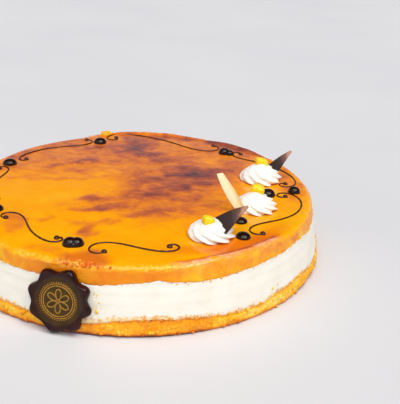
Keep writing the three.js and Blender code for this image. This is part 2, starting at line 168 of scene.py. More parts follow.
# %% [markdown]
# ## Building meshes from rings
# Most of the cake is round, so most pieces are stacks of rings: join each ring to the next with quads and
# close both ends with a fan. The same builder makes a layer, a drop, a rosette and even a piped line, whose
# rings are its cross-sections. Every part is a closed body, so the mesh is a clean solid too.

# %% Rings to solids, solids to pieces
def ring(x, y, radius, around, height):
    """A ring of points about x, y; the radius and the height may differ from point to point."""
    height = np.broadcast_to(height, around.shape)
    return np.stack([x + radius * np.cos(around), y + radius * np.sin(around), height], 1)


def ring_solid(rings, lowest=None, highest=None, closed_loop=False):
    """Points and faces from rings (rows, n, 3), lowest first, each counter-clockwise from the far end."""
    rings = np.asarray(rings, float)
    rows, n, _ = rings.shape
    i = np.arange(n)
    j = (i + 1) % n
    faces = []
    for k in range(rows if closed_loop else rows - 1):
        a, b = k * n, (k + 1) % rows * n
        faces += np.stack([a + i, a + j, b + j, b + i], 1).tolist()
    points = rings.reshape(-1, 3)
    if closed_loop:
        return points, faces
    ends = [rings[0].mean(0) if lowest is None else lowest, rings[-1].mean(0) if highest is None else highest]
    points = np.vstack([points, ends])
    low, high, last = rows * n, rows * n + 1, (rows - 1) * n
    faces += [[low, q, p] for p, q in zip(i.tolist(), j.tolist())]
    faces += [[high, last + p, last + q] for p, q in zip(i.tolist(), j.tolist())]
    return points, faces


def make_piece(name, parts, material, nodes=(), sharp_degrees=None):
    """One object from several closed parts, which rides with the cake and stands for the named solids."""
    points, faces, start = [], [], 0
    for part_points, part_faces in parts:
        points.append(part_points)
        faces += [[v + start for v in face] for face in part_faces]
        start += len(part_points)
    mesh = bpy.data.meshes.new(name)
    mesh.from_pydata((np.vstack(points) * MM).tolist(), [], faces)
    mesh.polygons.foreach_set("use_smooth", [True] * len(mesh.polygons))
    if sharp_degrees:
        mesh.set_sharp_from_angle(angle=math.radians(sharp_degrees))
    mesh.materials.append(material)
    piece = bpy.data.objects.new(name, mesh)
    bpy.context.collection.objects.link(piece)
    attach(piece, "root")
    if nodes:
        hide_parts(*nodes)
    print(f"{name}: {len(faces)} faces")
    return piece


def paint(piece, name, values):
    """Stores one number a point, which a material can read as an attribute."""
    layer = piece.data.attributes.new(name, "FLOAT", "POINT")
    layer.data.foreach_set("value", np.asarray(values, np.float32))


# %% [markdown]
# ## Node trees with one helper
# A material is a small program: nodes with settings, and links between them. One function that adds a node,
# sets it and links it is enough. Colours are written as they would be picked on a screen, and turned to
# linear light once. Object coordinates are metres, so a pattern's scale is how many of its bumps go into a
# metre.

# %% Materials: one helper for nodes, one for colours
SHARE, FIRST, SECOND, MIXED = 0, 6, 7, 2  # a Mix node's colour sockets
FROM_LOW, FROM_HIGH, TO_LOW, TO_HIGH = 1, 2, 3, 4  # a Map Range node's sockets
OBJECT_PLACE, CARRIED_NUMBER, Z_PART = 3, 2, 2  # outputs of Texture Coordinate, Attribute and Separate XYZ
COLOURS = {"data_type": "RGBA"}
EASED = {"interpolation_type": "SMOOTHSTEP"}
TIMES = {"operation": "MULTIPLY"}
TIMES_PLUS = {"operation": "MULTIPLY_ADD"}


def linear(hex_colour):
    """An sRGB hex colour as linear RGBA."""
    parts = [int(hex_colour[k : k + 2], 16) / 255 for k in (1, 3, 5)]
    return (*[p / 12.92 if p <= 0.04045 else ((p + 0.055) / 1.055) ** 2.4 for p in parts], 1.0)


def per_metre(bump_mm):
    return 1 / (bump_mm * MM)


def add(tree, kind, inputs=(), settings=(), stops=(), out=0):
    """A new node. Inputs gives each socket a value or the output that feeds it; stops colour a ramp."""
    made = tree.nodes.new("ShaderNode" + kind)
    for key, value in dict(settings).items():
        setattr(made, key, value)
    for key, value in dict(inputs).items():
        if isinstance(value, bpy.types.NodeSocket):
            tree.links.new(value, made.inputs[key])
        else:
            made.inputs[key].default_value = value
    for k, (place, colour) in enumerate(stops):
        element = made.color_ramp.elements[k] if k < 2 else made.color_ramp.elements.new(place)
        element.position = place
        element.color = linear(colour)
    return made.outputs[out] if made.outputs else None


def new_material(name):
    """An empty node material, its tree, and where each point of the surface is."""
    material = bpy.data.materials.new(name)
    material.use_nodes = True
    tree = material.node_tree
    tree.nodes.clear()
    return material, tree, add(tree, "TexCoord", out=OBJECT_PLACE)


def glow(share, colours, reach_mm):
    """How much of the light goes inside, and how far each colour of it travels there."""
    return {"Subsurface Weight": share, "Subsurface Radius": colours, "Subsurface Scale": reach_mm * MM}


def surfaced(material, tree, look, inner=()):
    """The step that ends every finish: its look, and its inner light if it has any, become the surface."""
    surface = add(tree, "BsdfPrincipled", {**look, **dict(inner)})
    add(tree, "OutputMaterial", {"Surface": surface})
    return material


# %% [markdown]
# ## The finishes
# Whipped cream is fat, air and water: nearly white, hardly glossy, and light travels some millimetres
# through it, so its shadows glow warm. Subsurface scattering with a small radius gives that. A broad bump
# stands for the marks of the knife that smoothed it. Where the knife dragged syrup up from the sponge, the
# smear attribute stains it. The same amber tint, in a thin band just under the top layer, is painted
# shade.

# %% Whipped cream
def smoothed_cream():
    material, tree, place = new_material("whipped_cream_smoothed")
    broad = add(tree, "TexNoise", {"Vector": place, "Scale": per_metre(14), "Detail": 2})
    body = add(tree, "ValToRGB", {0: broad}, stops=[(0.3, "#f1ecdf"), (0.7, "#f7f3e8")])
    blots = add(tree, "TexNoise", {"Vector": place, "Scale": per_metre(2.6), "Detail": 4})
    smear_and_shade = add(tree, "Attribute", settings={"attribute_name": "smear_and_shade"}, out=CARRIED_NUMBER)
    # The stain is syrup near the foot and painted shade in a thin band under the top layer.
    stain_and_shade = add(tree, "Math", {0: smear_and_shade, 1: 0.6, 2: blots}, TIMES_PLUS)
    amount = add(tree, "MapRange", {0: stain_and_shade, FROM_LOW: 0.72, FROM_HIGH: 1.02, TO_HIGH: 0.85}, EASED)
    syrup_and_shade_tint = add(tree, "ValToRGB", {0: blots}, stops=[(0.45, "#ffe0a0"), (0.62, "#eda650")])
    colour = add(tree, "Mix", {SHARE: amount, FIRST: body, SECOND: syrup_and_shade_tint}, COLOURS, out=MIXED)
    flattened = add(tree, "VectorMath", {0: place, 1: (1, 1, 2.5)}, TIMES)
    marks = add(tree, "TexNoise", {"Vector": flattened, "Scale": per_metre(9), "Detail": 3})
    bump = add(tree, "Bump", {"Height": marks, "Distance": 0.35 * MM, "Strength": 0.5})
    look = {"Base Color": colour, "Normal": bump, "Roughness": 0.5, "IOR": 1.45}
    return surfaced(material, tree, look, glow(0.35, (1.0, 0.85, 0.65), 3))


def piped_cream():
    """Cream through a nozzle: cleaner and whiter, with the fine drag of the nozzle's teeth."""
    material, tree, place = new_material("whipped_cream_piped")
    broad = add(tree, "TexNoise", {"Vector": place, "Scale": per_metre(7), "Detail": 2})
    body = add(tree, "ValToRGB", {0: broad}, stops=[(0.3, "#fdf8ec"), (0.7, "#fffdf7")])
    drag = add(tree, "TexNoise", {"Vector": place, "Scale": per_metre(2.5), "Detail": 3})
    bump = add(tree, "Bump", {"Height": drag, "Distance": 0.25 * MM, "Strength": 0.5})
    look = {"Base Color": body, "Normal": bump, "Roughness": 0.45, "IOR": 1.45}
    return surfaced(material, tree, look, glow(0.5, (1.0, 0.9, 0.72), 3.5))


# %% [markdown]
# Sponge is an open crumb of egg and flour. Its holes are 0.5 to 2 mm wide, so the larger ones are in the
# mesh and the finer ones are bump. Syrup has run down into this one: it is pale yellow where it is airy,
# amber where it is soaked, and brown along the foot, partly from syrup and partly as painted shade where it
# meets the floor. Wet crumb is a little glossy, so the roughness stays below that of dry bread.

# %% Soaked sponge
SPONGE_SHADES = [
    (0.0, "#ffdc66"),
    (0.14, "#ffc01c"),
    (0.27, "#ffaa02"),
    (0.42, "#f38e00"),
    (0.6, "#c96a00"),
    (0.85, "#7a3504"),
]


def soaked_sponge():
    material, tree, place = new_material("soaked_sponge_crumb")
    broad = add(tree, "TexNoise", {"Vector": place, "Scale": per_metre(22), "Detail": 3})
    fine = {"Vector": place, "Scale": per_metre(1.8), "Detail": 4, "Roughness": 0.62}
    crumb = add(tree, "TexNoise", fine)
    # The carried number is soaking, and near the floor it is also painted shade.
    soak_and_shade = add(tree, "Attribute", settings={"attribute_name": "soak_and_shade"}, out=CARRIED_NUMBER)
    tone = add(tree, "Math", {0: crumb, 1: 0.7, 2: broad}, TIMES_PLUS)
    soaked = add(tree, "Math", {0: soak_and_shade, 1: 0.75, 2: tone}, TIMES_PLUS)
    share = add(tree, "MapRange", {0: soaked, FROM_LOW: 0.7, FROM_HIGH: 1.95})
    colour = add(tree, "ValToRGB", {0: share}, stops=SPONGE_SHADES)
    bump = add(tree, "Bump", {"Height": crumb, "Distance": 0.5 * MM, "Strength": 0.6})
    look = {"Base Color": colour, "Normal": bump, "Roughness": 0.5, "IOR": 1.42}
    return surfaced(material, tree, look, glow(0.12, (1.0, 0.45, 0.1), 1.5))


# %% [markdown]
# The top is yolk jam with sugar burnt onto it under a clear gel. Where the iron hardly touched it, it is
# amber; the scorched patches go through russet to a purple brown. The mesh carries how scorched each place
# is, and the material frays that with finer noise, drawn out along the iron's stroke, because caramel forms
# in streaks and specks. Other attributes tell where the jam lies deep and orange, which in the crease inside
# the torn lip is partly painted shade, where the rim is grainy, with pale specks that are partly bare crumb
# and partly painted glints, where the torn lip shows its pale inside, and which part is the cut side, where
# syrup has run down in blotches. The gel is smooth, so highlights are clear; the side is duller.

# %% Toasted yolk glaze
TOAST_SHADES = [
    (0.0, "#ffb204"),
    (0.1, "#ffa400"),
    (0.24, "#ee8a1e"),
    (0.42, "#d06d32"),
    (0.6, "#a8543a"),
    (0.8, "#7a403c"),
    (1.0, "#523135"),
]
SOAKED_SIDE_SHADES = [(0.32, "#ffc60c"), (0.45, "#ffb000"), (0.58, "#f89800"), (0.75, "#dc7800")]
DEEP_JAM_SHADES = [(0.0, "#f79a04"), (0.5, "#ec7a06"), (0.8, "#d4500a"), (1.0, "#a83408")]


def toasted_glaze():
    material, tree, place = new_material("toasted_yolk_glaze")
    values = {}
    for name in ("toast", "side", "deep", "crust_and_glint", "lip"):
        values[name] = add(tree, "Attribute", settings={"attribute_name": name}, out=CARRIED_NUMBER)
    drawn_out = add(tree, "VectorMath", {0: place, 1: (0.85, 1, 1)}, TIMES)
    streaks = {"Vector": drawn_out, "Scale": per_metre(7), "Detail": 7, "Roughness": 0.64, "Distortion": 0.7}
    streaked = add(tree, "TexNoise", streaks)
    fraying = add(tree, "MapRange", {0: values["toast"], FROM_HIGH: 0.45, TO_LOW: 0.08, TO_HIGH: 0.75})
    frayed = add(tree, "Math", {0: streaked, 1: 0.5}, {"operation": "SUBTRACT"})
    frayed = add(tree, "Math", {0: frayed, 1: fraying}, TIMES)
    toast = add(tree, "Math", {0: values["toast"], 1: frayed})
    colour = add(tree, "ValToRGB", {0: toast}, stops=TOAST_SHADES)

    run_down = add(tree, "VectorMath", {0: place, 1: (1, 1, 0.8)}, TIMES)
    blotch = {"Vector": run_down, "Scale": per_metre(10), "Detail": 5, "Roughness": 0.55, "Distortion": 0.5}
    blotches = add(tree, "TexNoise", blotch)
    side_colour = add(tree, "ValToRGB", {0: blotches}, stops=SOAKED_SIDE_SHADES)
    side_share = add(tree, "MapRange", {0: values["side"], FROM_LOW: 0.1, FROM_HIGH: 0.8}, EASED)
    colour = add(tree, "Mix", {SHARE: side_share, FIRST: colour, SECOND: side_colour}, COLOURS, out=MIXED)

    jam = add(tree, "ValToRGB", {0: values["deep"]}, stops=DEEP_JAM_SHADES)
    jam_share = add(tree, "MapRange", {0: values["deep"], FROM_HIGH: 0.6, TO_HIGH: 0.9}, EASED)
    colour = add(tree, "Mix", {SHARE: jam_share, FIRST: colour, SECOND: jam}, COLOURS, out=MIXED)

    grains = add(tree, "TexNoise", {"Vector": place, "Scale": per_metre(1.9), "Detail": 3, "Roughness": 0.6})
    grainy = add(tree, "MapRange", {0: grains, FROM_LOW: 0.42, FROM_HIGH: 0.64}, EASED)
    # Pale yellow specks on the grainy rim: partly bare crumb, partly painted glints on its lumps.
    glinting_crust = add(tree, "Math", {0: grainy, 1: values["crust_and_glint"]}, TIMES)
    glinting_crust_mix = {SHARE: glinting_crust, FIRST: colour, SECOND: linear("#ffd052")}
    colour = add(tree, "Mix", glinting_crust_mix, COLOURS, out=MIXED)
    torn = add(tree, "ValToRGB", {0: grains}, stops=[(0.35, "#f58c58"), (0.65, "#ffc89c")])
    colour = add(tree, "Mix", {SHARE: values["lip"], FIRST: colour, SECOND: torn}, COLOURS, out=MIXED)

    ripples = add(tree, "TexNoise", {"Vector": place, "Scale": per_metre(9), "Detail": 2})
    gel = add(tree, "Bump", {"Height": ripples, "Distance": 0.25 * MM, "Strength": 0.4})
    wrinkled = add(tree, "Math", {0: streaked, 1: values["toast"]}, TIMES)
    skin = add(tree, "Bump", {"Height": wrinkled, "Distance": 1.2 * MM, "Strength": 0.35, "Normal": gel})
    rough_part = add(tree, "Math", {0: values["side"], 1: values["crust_and_glint"]}, {"operation": "MAXIMUM"})
    crumbs = add(tree, "Math", {0: grains, 1: rough_part}, TIMES)
    crumbs = add(tree, "Bump", {"Height": crumbs, "Distance": 0.5 * MM, "Strength": 0.6, "Normal": skin})
    roughness = add(tree, "MapRange", {0: rough_part, FROM_LOW: 0.2, TO_LOW: 0.14, TO_HIGH: 0.34})
    look = {"Base Color": colour, "Normal": crumbs, "Roughness": roughness, "IOR": 1.4}
    return surfaced(material, tree, look, glow(0.08, (1.0, 0.4, 0.05), 1.5))


# %% [markdown]
# Tempered chocolate is cocoa butter set hard and smooth: nearly black brown, with highlights as clear as on
# varnish where it was piped and set by itself, and satin where it lay on a sheet. A thin piped line lets
# some light through, so it is a warmer brown than a drop. The dark shards turn milk brown towards the tip;
# the mesh carries how near each point is to the tip.

# %% Dark chocolate, piped, cast and spread
CHOCOLATE_IOR = 1.5


def piped_chocolate(name, colour, bloom):
    material, tree, place = new_material(name)
    cloudy = add(tree, "TexNoise", {"Vector": place, "Scale": per_metre(2.5), "Detail": 2})
    shade = add(tree, "ValToRGB", {0: cloudy}, stops=[(0.35, colour), (0.75, bloom)])
    bump = add(tree, "Bump", {"Height": cloudy, "Distance": 0.15 * MM, "Strength": 0.2})
    look = {"Base Color": shade, "Normal": bump, "Roughness": 0.17, "IOR": CHOCOLATE_IOR}
    return surfaced(material, tree, {**look, "Specular IOR Level": 0.35})


def cast_chocolate():
    """Poured and stamped; the stamped disc is thinner, so it looks more olive than the rim."""
    material, tree, place = new_material("dark_chocolate_cast")
    disc = add(tree, "Attribute", settings={"attribute_name": "disc"}, out=CARRIED_NUMBER)
    cloudy = add(tree, "TexNoise", {"Vector": place, "Scale": per_metre(5), "Detail": 3})
    rim = add(tree, "ValToRGB", {0: cloudy}, stops=[(0.35, "#220b0b"), (0.7, "#361613")])
    face = add(tree, "ValToRGB", {0: cloudy}, stops=[(0.35, "#3e2a05"), (0.7, "#503808")])
    shade = add(tree, "Mix", {SHARE: disc, FIRST: rim, SECOND: face}, COLOURS, out=MIXED)
    bump = add(tree, "Bump", {"Height": cloudy, "Distance": 0.5 * MM, "Strength": 0.3})
    gloss = add(tree, "MapRange", {0: disc, TO_LOW: 0.24, TO_HIGH: 0.45})
    look = {"Base Color": shade, "Normal": bump, "Roughness": gloss, "IOR": CHOCOLATE_IOR}
    return surfaced(material, tree, {**look, "Specular IOR Level": 0.22})


def spread_chocolate():
    material, tree, place = new_material("dark_chocolate_sheet")
    tip = add(tree, "Attribute", settings={"attribute_name": "tip"}, out=CARRIED_NUMBER)
    swirls = add(tree, "TexNoise", {"Vector": place, "Scale": per_metre(4), "Detail": 4, "Distortion": 0.6})
    tip_tone = add(tree, "Math", {0: swirls, 1: 0.35, 2: tip}, TIMES_PLUS)
    shades = [(0.2, "#2b1b19"), (0.62, "#33201c"), (0.86, "#6b4638"), (1.0, "#b07f63")]
    shade = add(tree, "ValToRGB", {0: tip_tone}, stops=shades)
    bump = add(tree, "Bump", {"Height": swirls, "Distance": 0.3 * MM, "Strength": 0.4})
    look = {"Base Color": shade, "Normal": bump, "Roughness": 0.36, "IOR": CHOCOLATE_IOR}
    return surfaced(material, tree, {**look, "Specular IOR Level": 0.3})


# %% [markdown]
# White chocolate is cocoa butter, milk and sugar: cream yellow, and thin enough here to glow; along the
# white shard's right edge a darker yellow green is painted shade. The fruit is a cube of candied yellow
# flesh, wet and see-through at its edges, so it scatters light deeper than the cream does. The gold is
# lustre dust in a thin lacquer, so it is only partly metal, and it is worn where the stamp pressed less.

# %% White chocolate, fruit and gold
def white_chocolate_sheet():
    material, tree, place = new_material("white_chocolate_sheet")
    upright = add(tree, "VectorMath", {0: place, 1: (1, 1, 0.3)}, TIMES)
    streaks = add(tree, "TexNoise", {"Vector": upright, "Scale": per_metre(3), "Detail": 2})
    shade = add(tree, "ValToRGB", {0: streaks}, stops=[(0.3, "#fff5d2"), (0.7, "#fae9b8")])
    # Painted shade: a darker yellow green down the right edge of the sheet, towards its foot.
    edge = add(tree, "Attribute", settings={"attribute_name": "edge"}, out=CARRIED_NUMBER)
    edge_shade_mix = {SHARE: edge, FIRST: shade, SECOND: linear("#dcc067")}
    shade = add(tree, "Mix", edge_shade_mix, COLOURS, out=MIXED)
    bump = add(tree, "Bump", {"Height": streaks, "Distance": 0.2 * MM, "Strength": 0.5})
    look = {"Base Color": shade, "Normal": bump, "Roughness": 0.4, "IOR": 1.47}
    return surfaced(material, tree, look, glow(0.2, (1.0, 0.8, 0.4), 1.0))


def candied_fruit():
    material, tree, place = new_material("yellow_fruit_flesh")
    upright = add(tree, "VectorMath", {0: place, 1: (1, 1, 0.4)}, TIMES)
    fibres = add(tree, "TexNoise", {"Vector": upright, "Scale": per_metre(2), "Detail": 3})
    shade = add(tree, "ValToRGB", {0: fibres}, stops=[(0.3, "#ffe030"), (0.7, "#ffd004")])
    bump = add(tree, "Bump", {"Height": fibres, "Distance": 0.35 * MM, "Strength": 0.5})
    look = {"Base Color": shade, "Normal": bump, "Roughness": 0.3, "IOR": 1.38}
    return surfaced(material, tree, look, glow(0.3, (1.0, 0.8, 0.1), 2.5))


def gold_print():
    material, tree, place = new_material("gold_lustre_print")
    dust = add(tree, "TexNoise", {"Vector": place, "Scale": per_metre(1.1), "Detail": 3})
    shade = add(tree, "ValToRGB", {0: dust}, stops=[(0.35, "#9a6a1c"), (0.6, "#c08c2a")])
    bump = add(tree, "Bump", {"Height": dust, "Distance": 0.05 * MM, "Strength": 0.3})
    look = {"Base Color": shade, "Normal": bump, "Roughness": 0.45, "Metallic": 0.2}
    return surfaced(material, tree, look)


# %% All the finishes
CREAM_SMOOTHED = smoothed_cream()
CREAM_PIPED = piped_cream()
SPONGE_CRUMB = soaked_sponge()
YOLK_GLAZE = toasted_glaze()
CHOCOLATE_DROPS = piped_chocolate("dark_chocolate_drops", "#180904", "#2c140c")
CHOCOLATE_LINES = piped_chocolate("dark_chocolate_lines", "#381503", "#562608")
CHOCOLATE_CAST = cast_chocolate()
CHOCOLATE_SPREAD = spread_chocolate()
WHITE_CHOCOLATE = white_chocolate_sheet()
FRUIT_FLESH = candied_fruit()
GOLD_LUSTRE = gold_print()
print("materials in the file:", len(bpy.data.materials))

# %% [markdown]
# ## The layers
# Each layer is a stack of rings whose heights follow the wavy lines where cream meets sponge. Both
# neighbours use the same line, so they touch without a gap. A finer raggedness is laid on the lines, as
# crumbs catch in the cream. Behind the seal the side is pressed flat, as soft cream is when something is
# pushed into it.

# %% Edges, side and the flat behind the seal
AZIMUTHS = turns(ROUND_STEPS)
FOOT_RADIUS = 129.5
SHEET_RADII = (120, 108)  # between two layers, where the ragged edge has levelled out
SEAL_REACH = 18.0
SEAL_GAP = 0.15
SEAL = {"azimuth": -104.2, "height": 19.9, "back_radius": 128.9, "lean": 10, "thickness": 5}


def ragged(azimuth, seed):
    """Crumbs in the cut line: bumps of about 5, 2 and 1 mm along it."""
    return (
        0.45 * wobble(azimuth, 0.5, 160, seed)
        + 0.4 * wobble(azimuth, 0.5, 380, seed + 1)
        + 0.2 * wobble(azimuth, 0.5, 720, seed + 2)
    )


def cream_foot_edge(azimuth):
    return through_round(CREAM_FOOT_EDGE, azimuth) + 0.5 * wobble(azimuth, 0.5, 48, 2) + ragged(azimuth, 20)


def cream_top_edge(azimuth):
    return through_round(CREAM_TOP_EDGE, azimuth) + 0.5 * wobble(azimuth, 0.5, 48, 3) + ragged(azimuth, 30)


def side_radius(azimuth, height):
    return through(SIDE_PROFILE, height) + OUT_OF_ROUND * wobble(azimuth, height / 60 + 0.5, 7, 1)


def seal_placement():
    """Rotation and place that stand a flat thing against the side, its face outwards."""
    azimuth, lean = math.radians(SEAL["azimuth"]), math.radians(SEAL["lean"])
    outwards = np.array([math.cos(azimuth), math.sin(azimuth), 0])
    upright = np.array([0, 0, 1])
    right = np.cross(upright, outwards)
    face = outwards * math.cos(lean) + upright * math.sin(lean)
    turn = np.stack([right, np.cross(face, right), face])
    return turn, outwards * SEAL["back_radius"] + upright * SEAL["height"]


def on_the_side(points):
    turn, place = seal_placement()
    return points @ turn + place


def pressed_flat(points):
    """Moves points in behind the seal's back where they would stand through it."""
    turn, place = seal_placement()
    local = (points - place) @ turn.T
    under = (np.hypot(local[..., 0], local[..., 1]) < SEAL_REACH) & (local[..., 2] > -SEAL_GAP)
    local[..., 2] = np.where(under, -SEAL_GAP, local[..., 2])
    return local @ turn + place


def ring_points(radius, height):
    """A ring once round the cake."""
    return ring(0, 0, radius, AZIMUTHS, height)


def fan_inwards(edge_height, edge_radius, level):
    """Rings from an edge to the level middle of the sheet between two layers."""
    outer, inner = SHEET_RADII
    return [
        ring_points(mix(edge_radius, outer, 0.5), mix(edge_height, level, 0.3)),
        ring_points(outer, mix(edge_height, level, 0.6)),
        ring_points(inner, level),
    ]


# %% Crumb relief in the mesh
def crumb_relief(points, pit_mm, depth):
    """How far each point stands out: rounded lumps with pits between them."""
    flat = points.reshape(-1, 3)
    lumps = [noise.fractal(Vector(p) / (pit_mm * 1.6), 0.8, 2.0, 3) for p in flat]
    pits = [noise.voronoi(Vector(p) / pit_mm)[0][0] for p in flat]
    return (depth * (0.6 * np.array(lumps) + 1.1 * (np.array(pits) - 0.45))).reshape(points.shape[:-1])


def side_rows(low, high, shares, relief):
    """Rings up the side between two heights, with crumbs or knife marks in them."""
    rows = []
    for share in shares:
        height = mix(low, high, share)
        rows.append(ring_points(side_radius(AZIMUTHS, height), height))
    rows = np.array(rows)
    outward = rows.copy()
    outward[..., 2] = 0
    outward /= np.linalg.norm(outward, axis=-1, keepdims=True)
    return rows + outward * relief(rows, shares)[..., None]


# %% The base sponge
def sponge_relief(rows, shares):
    """Crumbs that die away at the foot and at the cream, whose edge both layers share."""
    from_edge = np.minimum(shares, 1.001 - np.asarray(shares))
    hold = np.minimum(1, 6 * from_edge + 0.15)[:, None]
    return crumb_relief(rows, pit_mm=2.4, depth=0.85) * hold


foot_edge = cream_foot_edge(AZIMUTHS)
top_edge = cream_top_edge(AZIMUTHS)
base_side = side_rows(np.zeros(ROUND_STEPS), foot_edge, np.linspace(0, 1, 16), sponge_relief)
base_side[0, :, 2] = 0
base_rings = [ring_points(FOOT_RADIUS, 0), *pressed_flat(base_side)]
base_rings += fan_inwards(foot_edge, side_radius(AZIMUTHS, foot_edge), CREAM_FOOT)
base_part = ring_solid(base_rings, (0, 0, 0), (0, 0, CREAM_FOOT))
base_piece = make_piece("base_sponge_crumb", [base_part], SPONGE_CRUMB, ["base_sponge"])
base_x, base_y, base_z = base_part[0].T
base_azimuth = np.arctan2(base_y, base_x)
# Brown along the foot: partly syrup, partly painted shade where the sponge meets the floor.
soaked_and_shaded_foot = 1 - smooth(base_z, 0.6, 3.6 + 0.9 * wobble(base_azimuth, 0.5, 40, 15))
darker_front = stretch_of_rim(base_azimuth, -90, 14, 16)
at_the_cream = smooth(base_z - cream_foot_edge(base_azimuth), -1.5, -0.2)
base_soak_and_shade = soaked_and_shaded_foot * (0.75 + 0.3 * darker_front) + 0.28 * darker_front + 0.4 * at_the_cream
paint(base_piece, "soak_and_shade", base_soak_and_shade)


# %% The cream
def cream_relief(rows, shares):
    """Broad strokes of the knife, and the fine drag of its edge."""
    broad = np.array([wobble(AZIMUTHS, share * 3, 18, 6) for share in shares])
    fine = np.array([wobble(AZIMUTHS, share * 9, 90, 12) for share in shares])
    return 0.15 * broad + 0.06 * fine


cream_side = pressed_flat(side_rows(foot_edge, top_edge, np.linspace(0, 1, 30), cream_relief))
cream_rings = [*fan_inwards(foot_edge, side_radius(AZIMUTHS, foot_edge), CREAM_FOOT)[::-1], *cream_side]
cream_rings += fan_inwards(top_edge, side_radius(AZIMUTHS, top_edge), CREAM_TOP)
cream_part = ring_solid(cream_rings, (0, 0, CREAM_FOOT), (0, 0, CREAM_TOP))
cream_piece = make_piece("cream_filling", [cream_part], CREAM_SMOOTHED, ["cream_layer"])
cream_x, cream_y, cream_z = cream_part[0].T
cream_azimuth = np.arctan2(cream_y, cream_x)
above_foot = cream_z - cream_foot_edge(cream_azimuth)
below_top = cream_top_edge(cream_azimuth) - cream_z
stained_height = 3.4 + 2.2 * wobble(cream_azimuth, 0.5, 34, 17)
stained_height += 2.6 * stretch_of_rim(cream_azimuth, -84, 12, 10)
smear_and_shade = 1 - smooth(above_foot, 0.1, np.maximum(stained_height, 0.8))
# Painted shade: a thin band just under the top layer takes half the stain.
paint(cream_piece, "smear_and_shade", smear_and_shade + 0.5 * (1 - smooth(below_top, 0, 0.8)))

# %% [markdown]
# ## The glazed top
# The top is made as one skin: the cut side of the sponge, the rounded rim over which the jam ran, and the
# flat top. Where it is scorched is read off the real cake as soft ovals, each with a place, two half sizes,
# a direction and a strength. Together they leave less and less of the jam unburnt; noise moves each place a
# little before it is looked up, which breaks the ovals' outlines into the ragged edges that a hot iron
# leaves.

# %% Scorched patches
TOAST_OVALS = [  # x, y, half length, half width, direction, strength
    (24, 0, 54, 66, 0, 0.3), (36, 22, 34, 26, 20, 0.36), (44, 30, 22, 15, 25, 0.38),
    (32, 3, 22, 10, 25, 0.42), (10, -14, 22, 10, 20, 0.36), (30, -23, 26, 8, 10, 0.26),
    (2, 18, 16, 14, 60, 0.2), (24, 32, 16, 10, 0, 0.16), (52, 14, 12, 14, 70, 0.26),
    (70, 42, 30, 14, 85, 0.3), (42, -38, 26, 12, 0, 0.08), (8, -51, 17, 6, 12, 0.3),
    (22, -43, 16, 6, 10, 0.1), (0, 72, 20, 11, -32, 0.42), (-4, 84, 17, 11, -60, 0.3),
    (-13, 98, 16, 9, -62, 0.3), (-32, 80, 26, 10, 5, 0.26), (14, 56, 24, 9, -10, 0.16),
    (5, 88, 100, 46, 0, 0.3), (20, 44, 60, 14, 0, 0.16), (-10, 112, 34, 9, 0, 0.22),
    (34, 112, 30, 8, -16, 0.28), (64, 101, 27, 11, -36, 0.56), (86, 84, 16, 9, -48, 0.36),
    (-60, 50, 62, 36, 32, 0.24), (-64, 35, 19, 6, 30, 0.26), (-45, 45, 16, 6, 28, 0.3),
    (-76, 82, 36, 10, 42, 0.26), (-98, 52, 18, 8, 62, 0.34), (-40, 24, 44, 9, 8, 0.12),
    (-40, 8, 28, 5, 10, 0.14), (-72, 4, 26, 6, 5, 0.12), (-24, -28, 15, 6, 15, 0.36),
    (-25, -45, 16, 6, 18, 0.36), (-6, -36, 14, 7, 15, 0.28), (-28, -38, 24, 15, 10, 0.16),
    (-26, -80, 12, 9, 60, 0.4), (-12, -66, 10, 4, 20, 0.22), (-30, -68, 12, 4, 10, 0.16),
    (-74, -67, 11, 5, -30, 0.3), (-50, -66, 10, 4, 10, 0.2), (-70, -80, 6, 11, 0, 0.2),
    (-20, -118, 15, 10, 0, 0.62), (46, -8, 14, 8, 0, 0.2), (-42, -108, 14, 5, -20, 0.16),
    (113, 12, 10, 34, 0, 0.24), (100, 48, 14, 20, 30, 0.24),
]
DEEP_OVALS = [
    (72, -90, 30, 12, 42, 0.55), (44, -99, 24, 8, 12, 0.4), (94, -68, 24, 8, 55, 0.3),
    (60, -50, 20, 10, 0, 0.18), (-18, -117, 18, 9, 0, 0.5),
]


def oval_cover(x, y, ovals):
    """How much of each place the ovals cover together, from 0 to 1."""
    bare = np.ones_like(x)
    for cx, cy, half_length, half_width, degrees, strength in ovals:
        turn = math.radians(degrees)
        u = ((x - cx) * math.cos(turn) + (y - cy) * math.sin(turn)) / half_length
        v = ((y - cy) * math.cos(turn) - (x - cx) * math.sin(turn)) / half_width
        bare = bare * (1 - strength * (1 - smooth(np.hypot(u, v), 0.35, 1.3)))
    return 1 - bare


def toast_at(x, y):
    """How scorched the top is, from 0 to 1; the last term browns it a little towards the back."""
    moved_x = x + 8 * cloud(x, y, 15, 41) + 3 * cloud(x, y, 4, 43)
    moved_y = y + 6 * cloud(x, y, 15, 45) + 2.5 * cloud(x, y, 4, 47)
    strokes = cloud(x / 1.3, y, 8, 53)
    cover = oval_cover(moved_x, moved_y, TOAST_OVALS)
    mottles = 0.05 + 0.07 * cloud(x, y, 24, 57) + 0.05 * strokes
    return np.clip(cover * (0.86 + 0.36 * strokes) + mottles + 0.05 * smooth(y, -60, 40), 0, 1)


# %% The rim's rounded shoulder
LIP = {"middle": -56, "half_width": 15, "fade": 6}
SHOULDER_PROFILE = [  # how far inside the rim, how far below the top, share of the rim's rise
    (-0.3, 2.6, 0.9), (-0.1, 1.9, 0.93), (0.4, 1.25, 0.96), (1.1, 0.75, 0.99), (1.9, 0.45, 1.0),
    (2.6, 0.3, 0.97), (3.4, 0.2, 0.84), (4.3, 0.12, 0.62), (5.4, 0.06, 0.32), (6.6, 0.02, 0.1), (7.8, 0, 0),
]


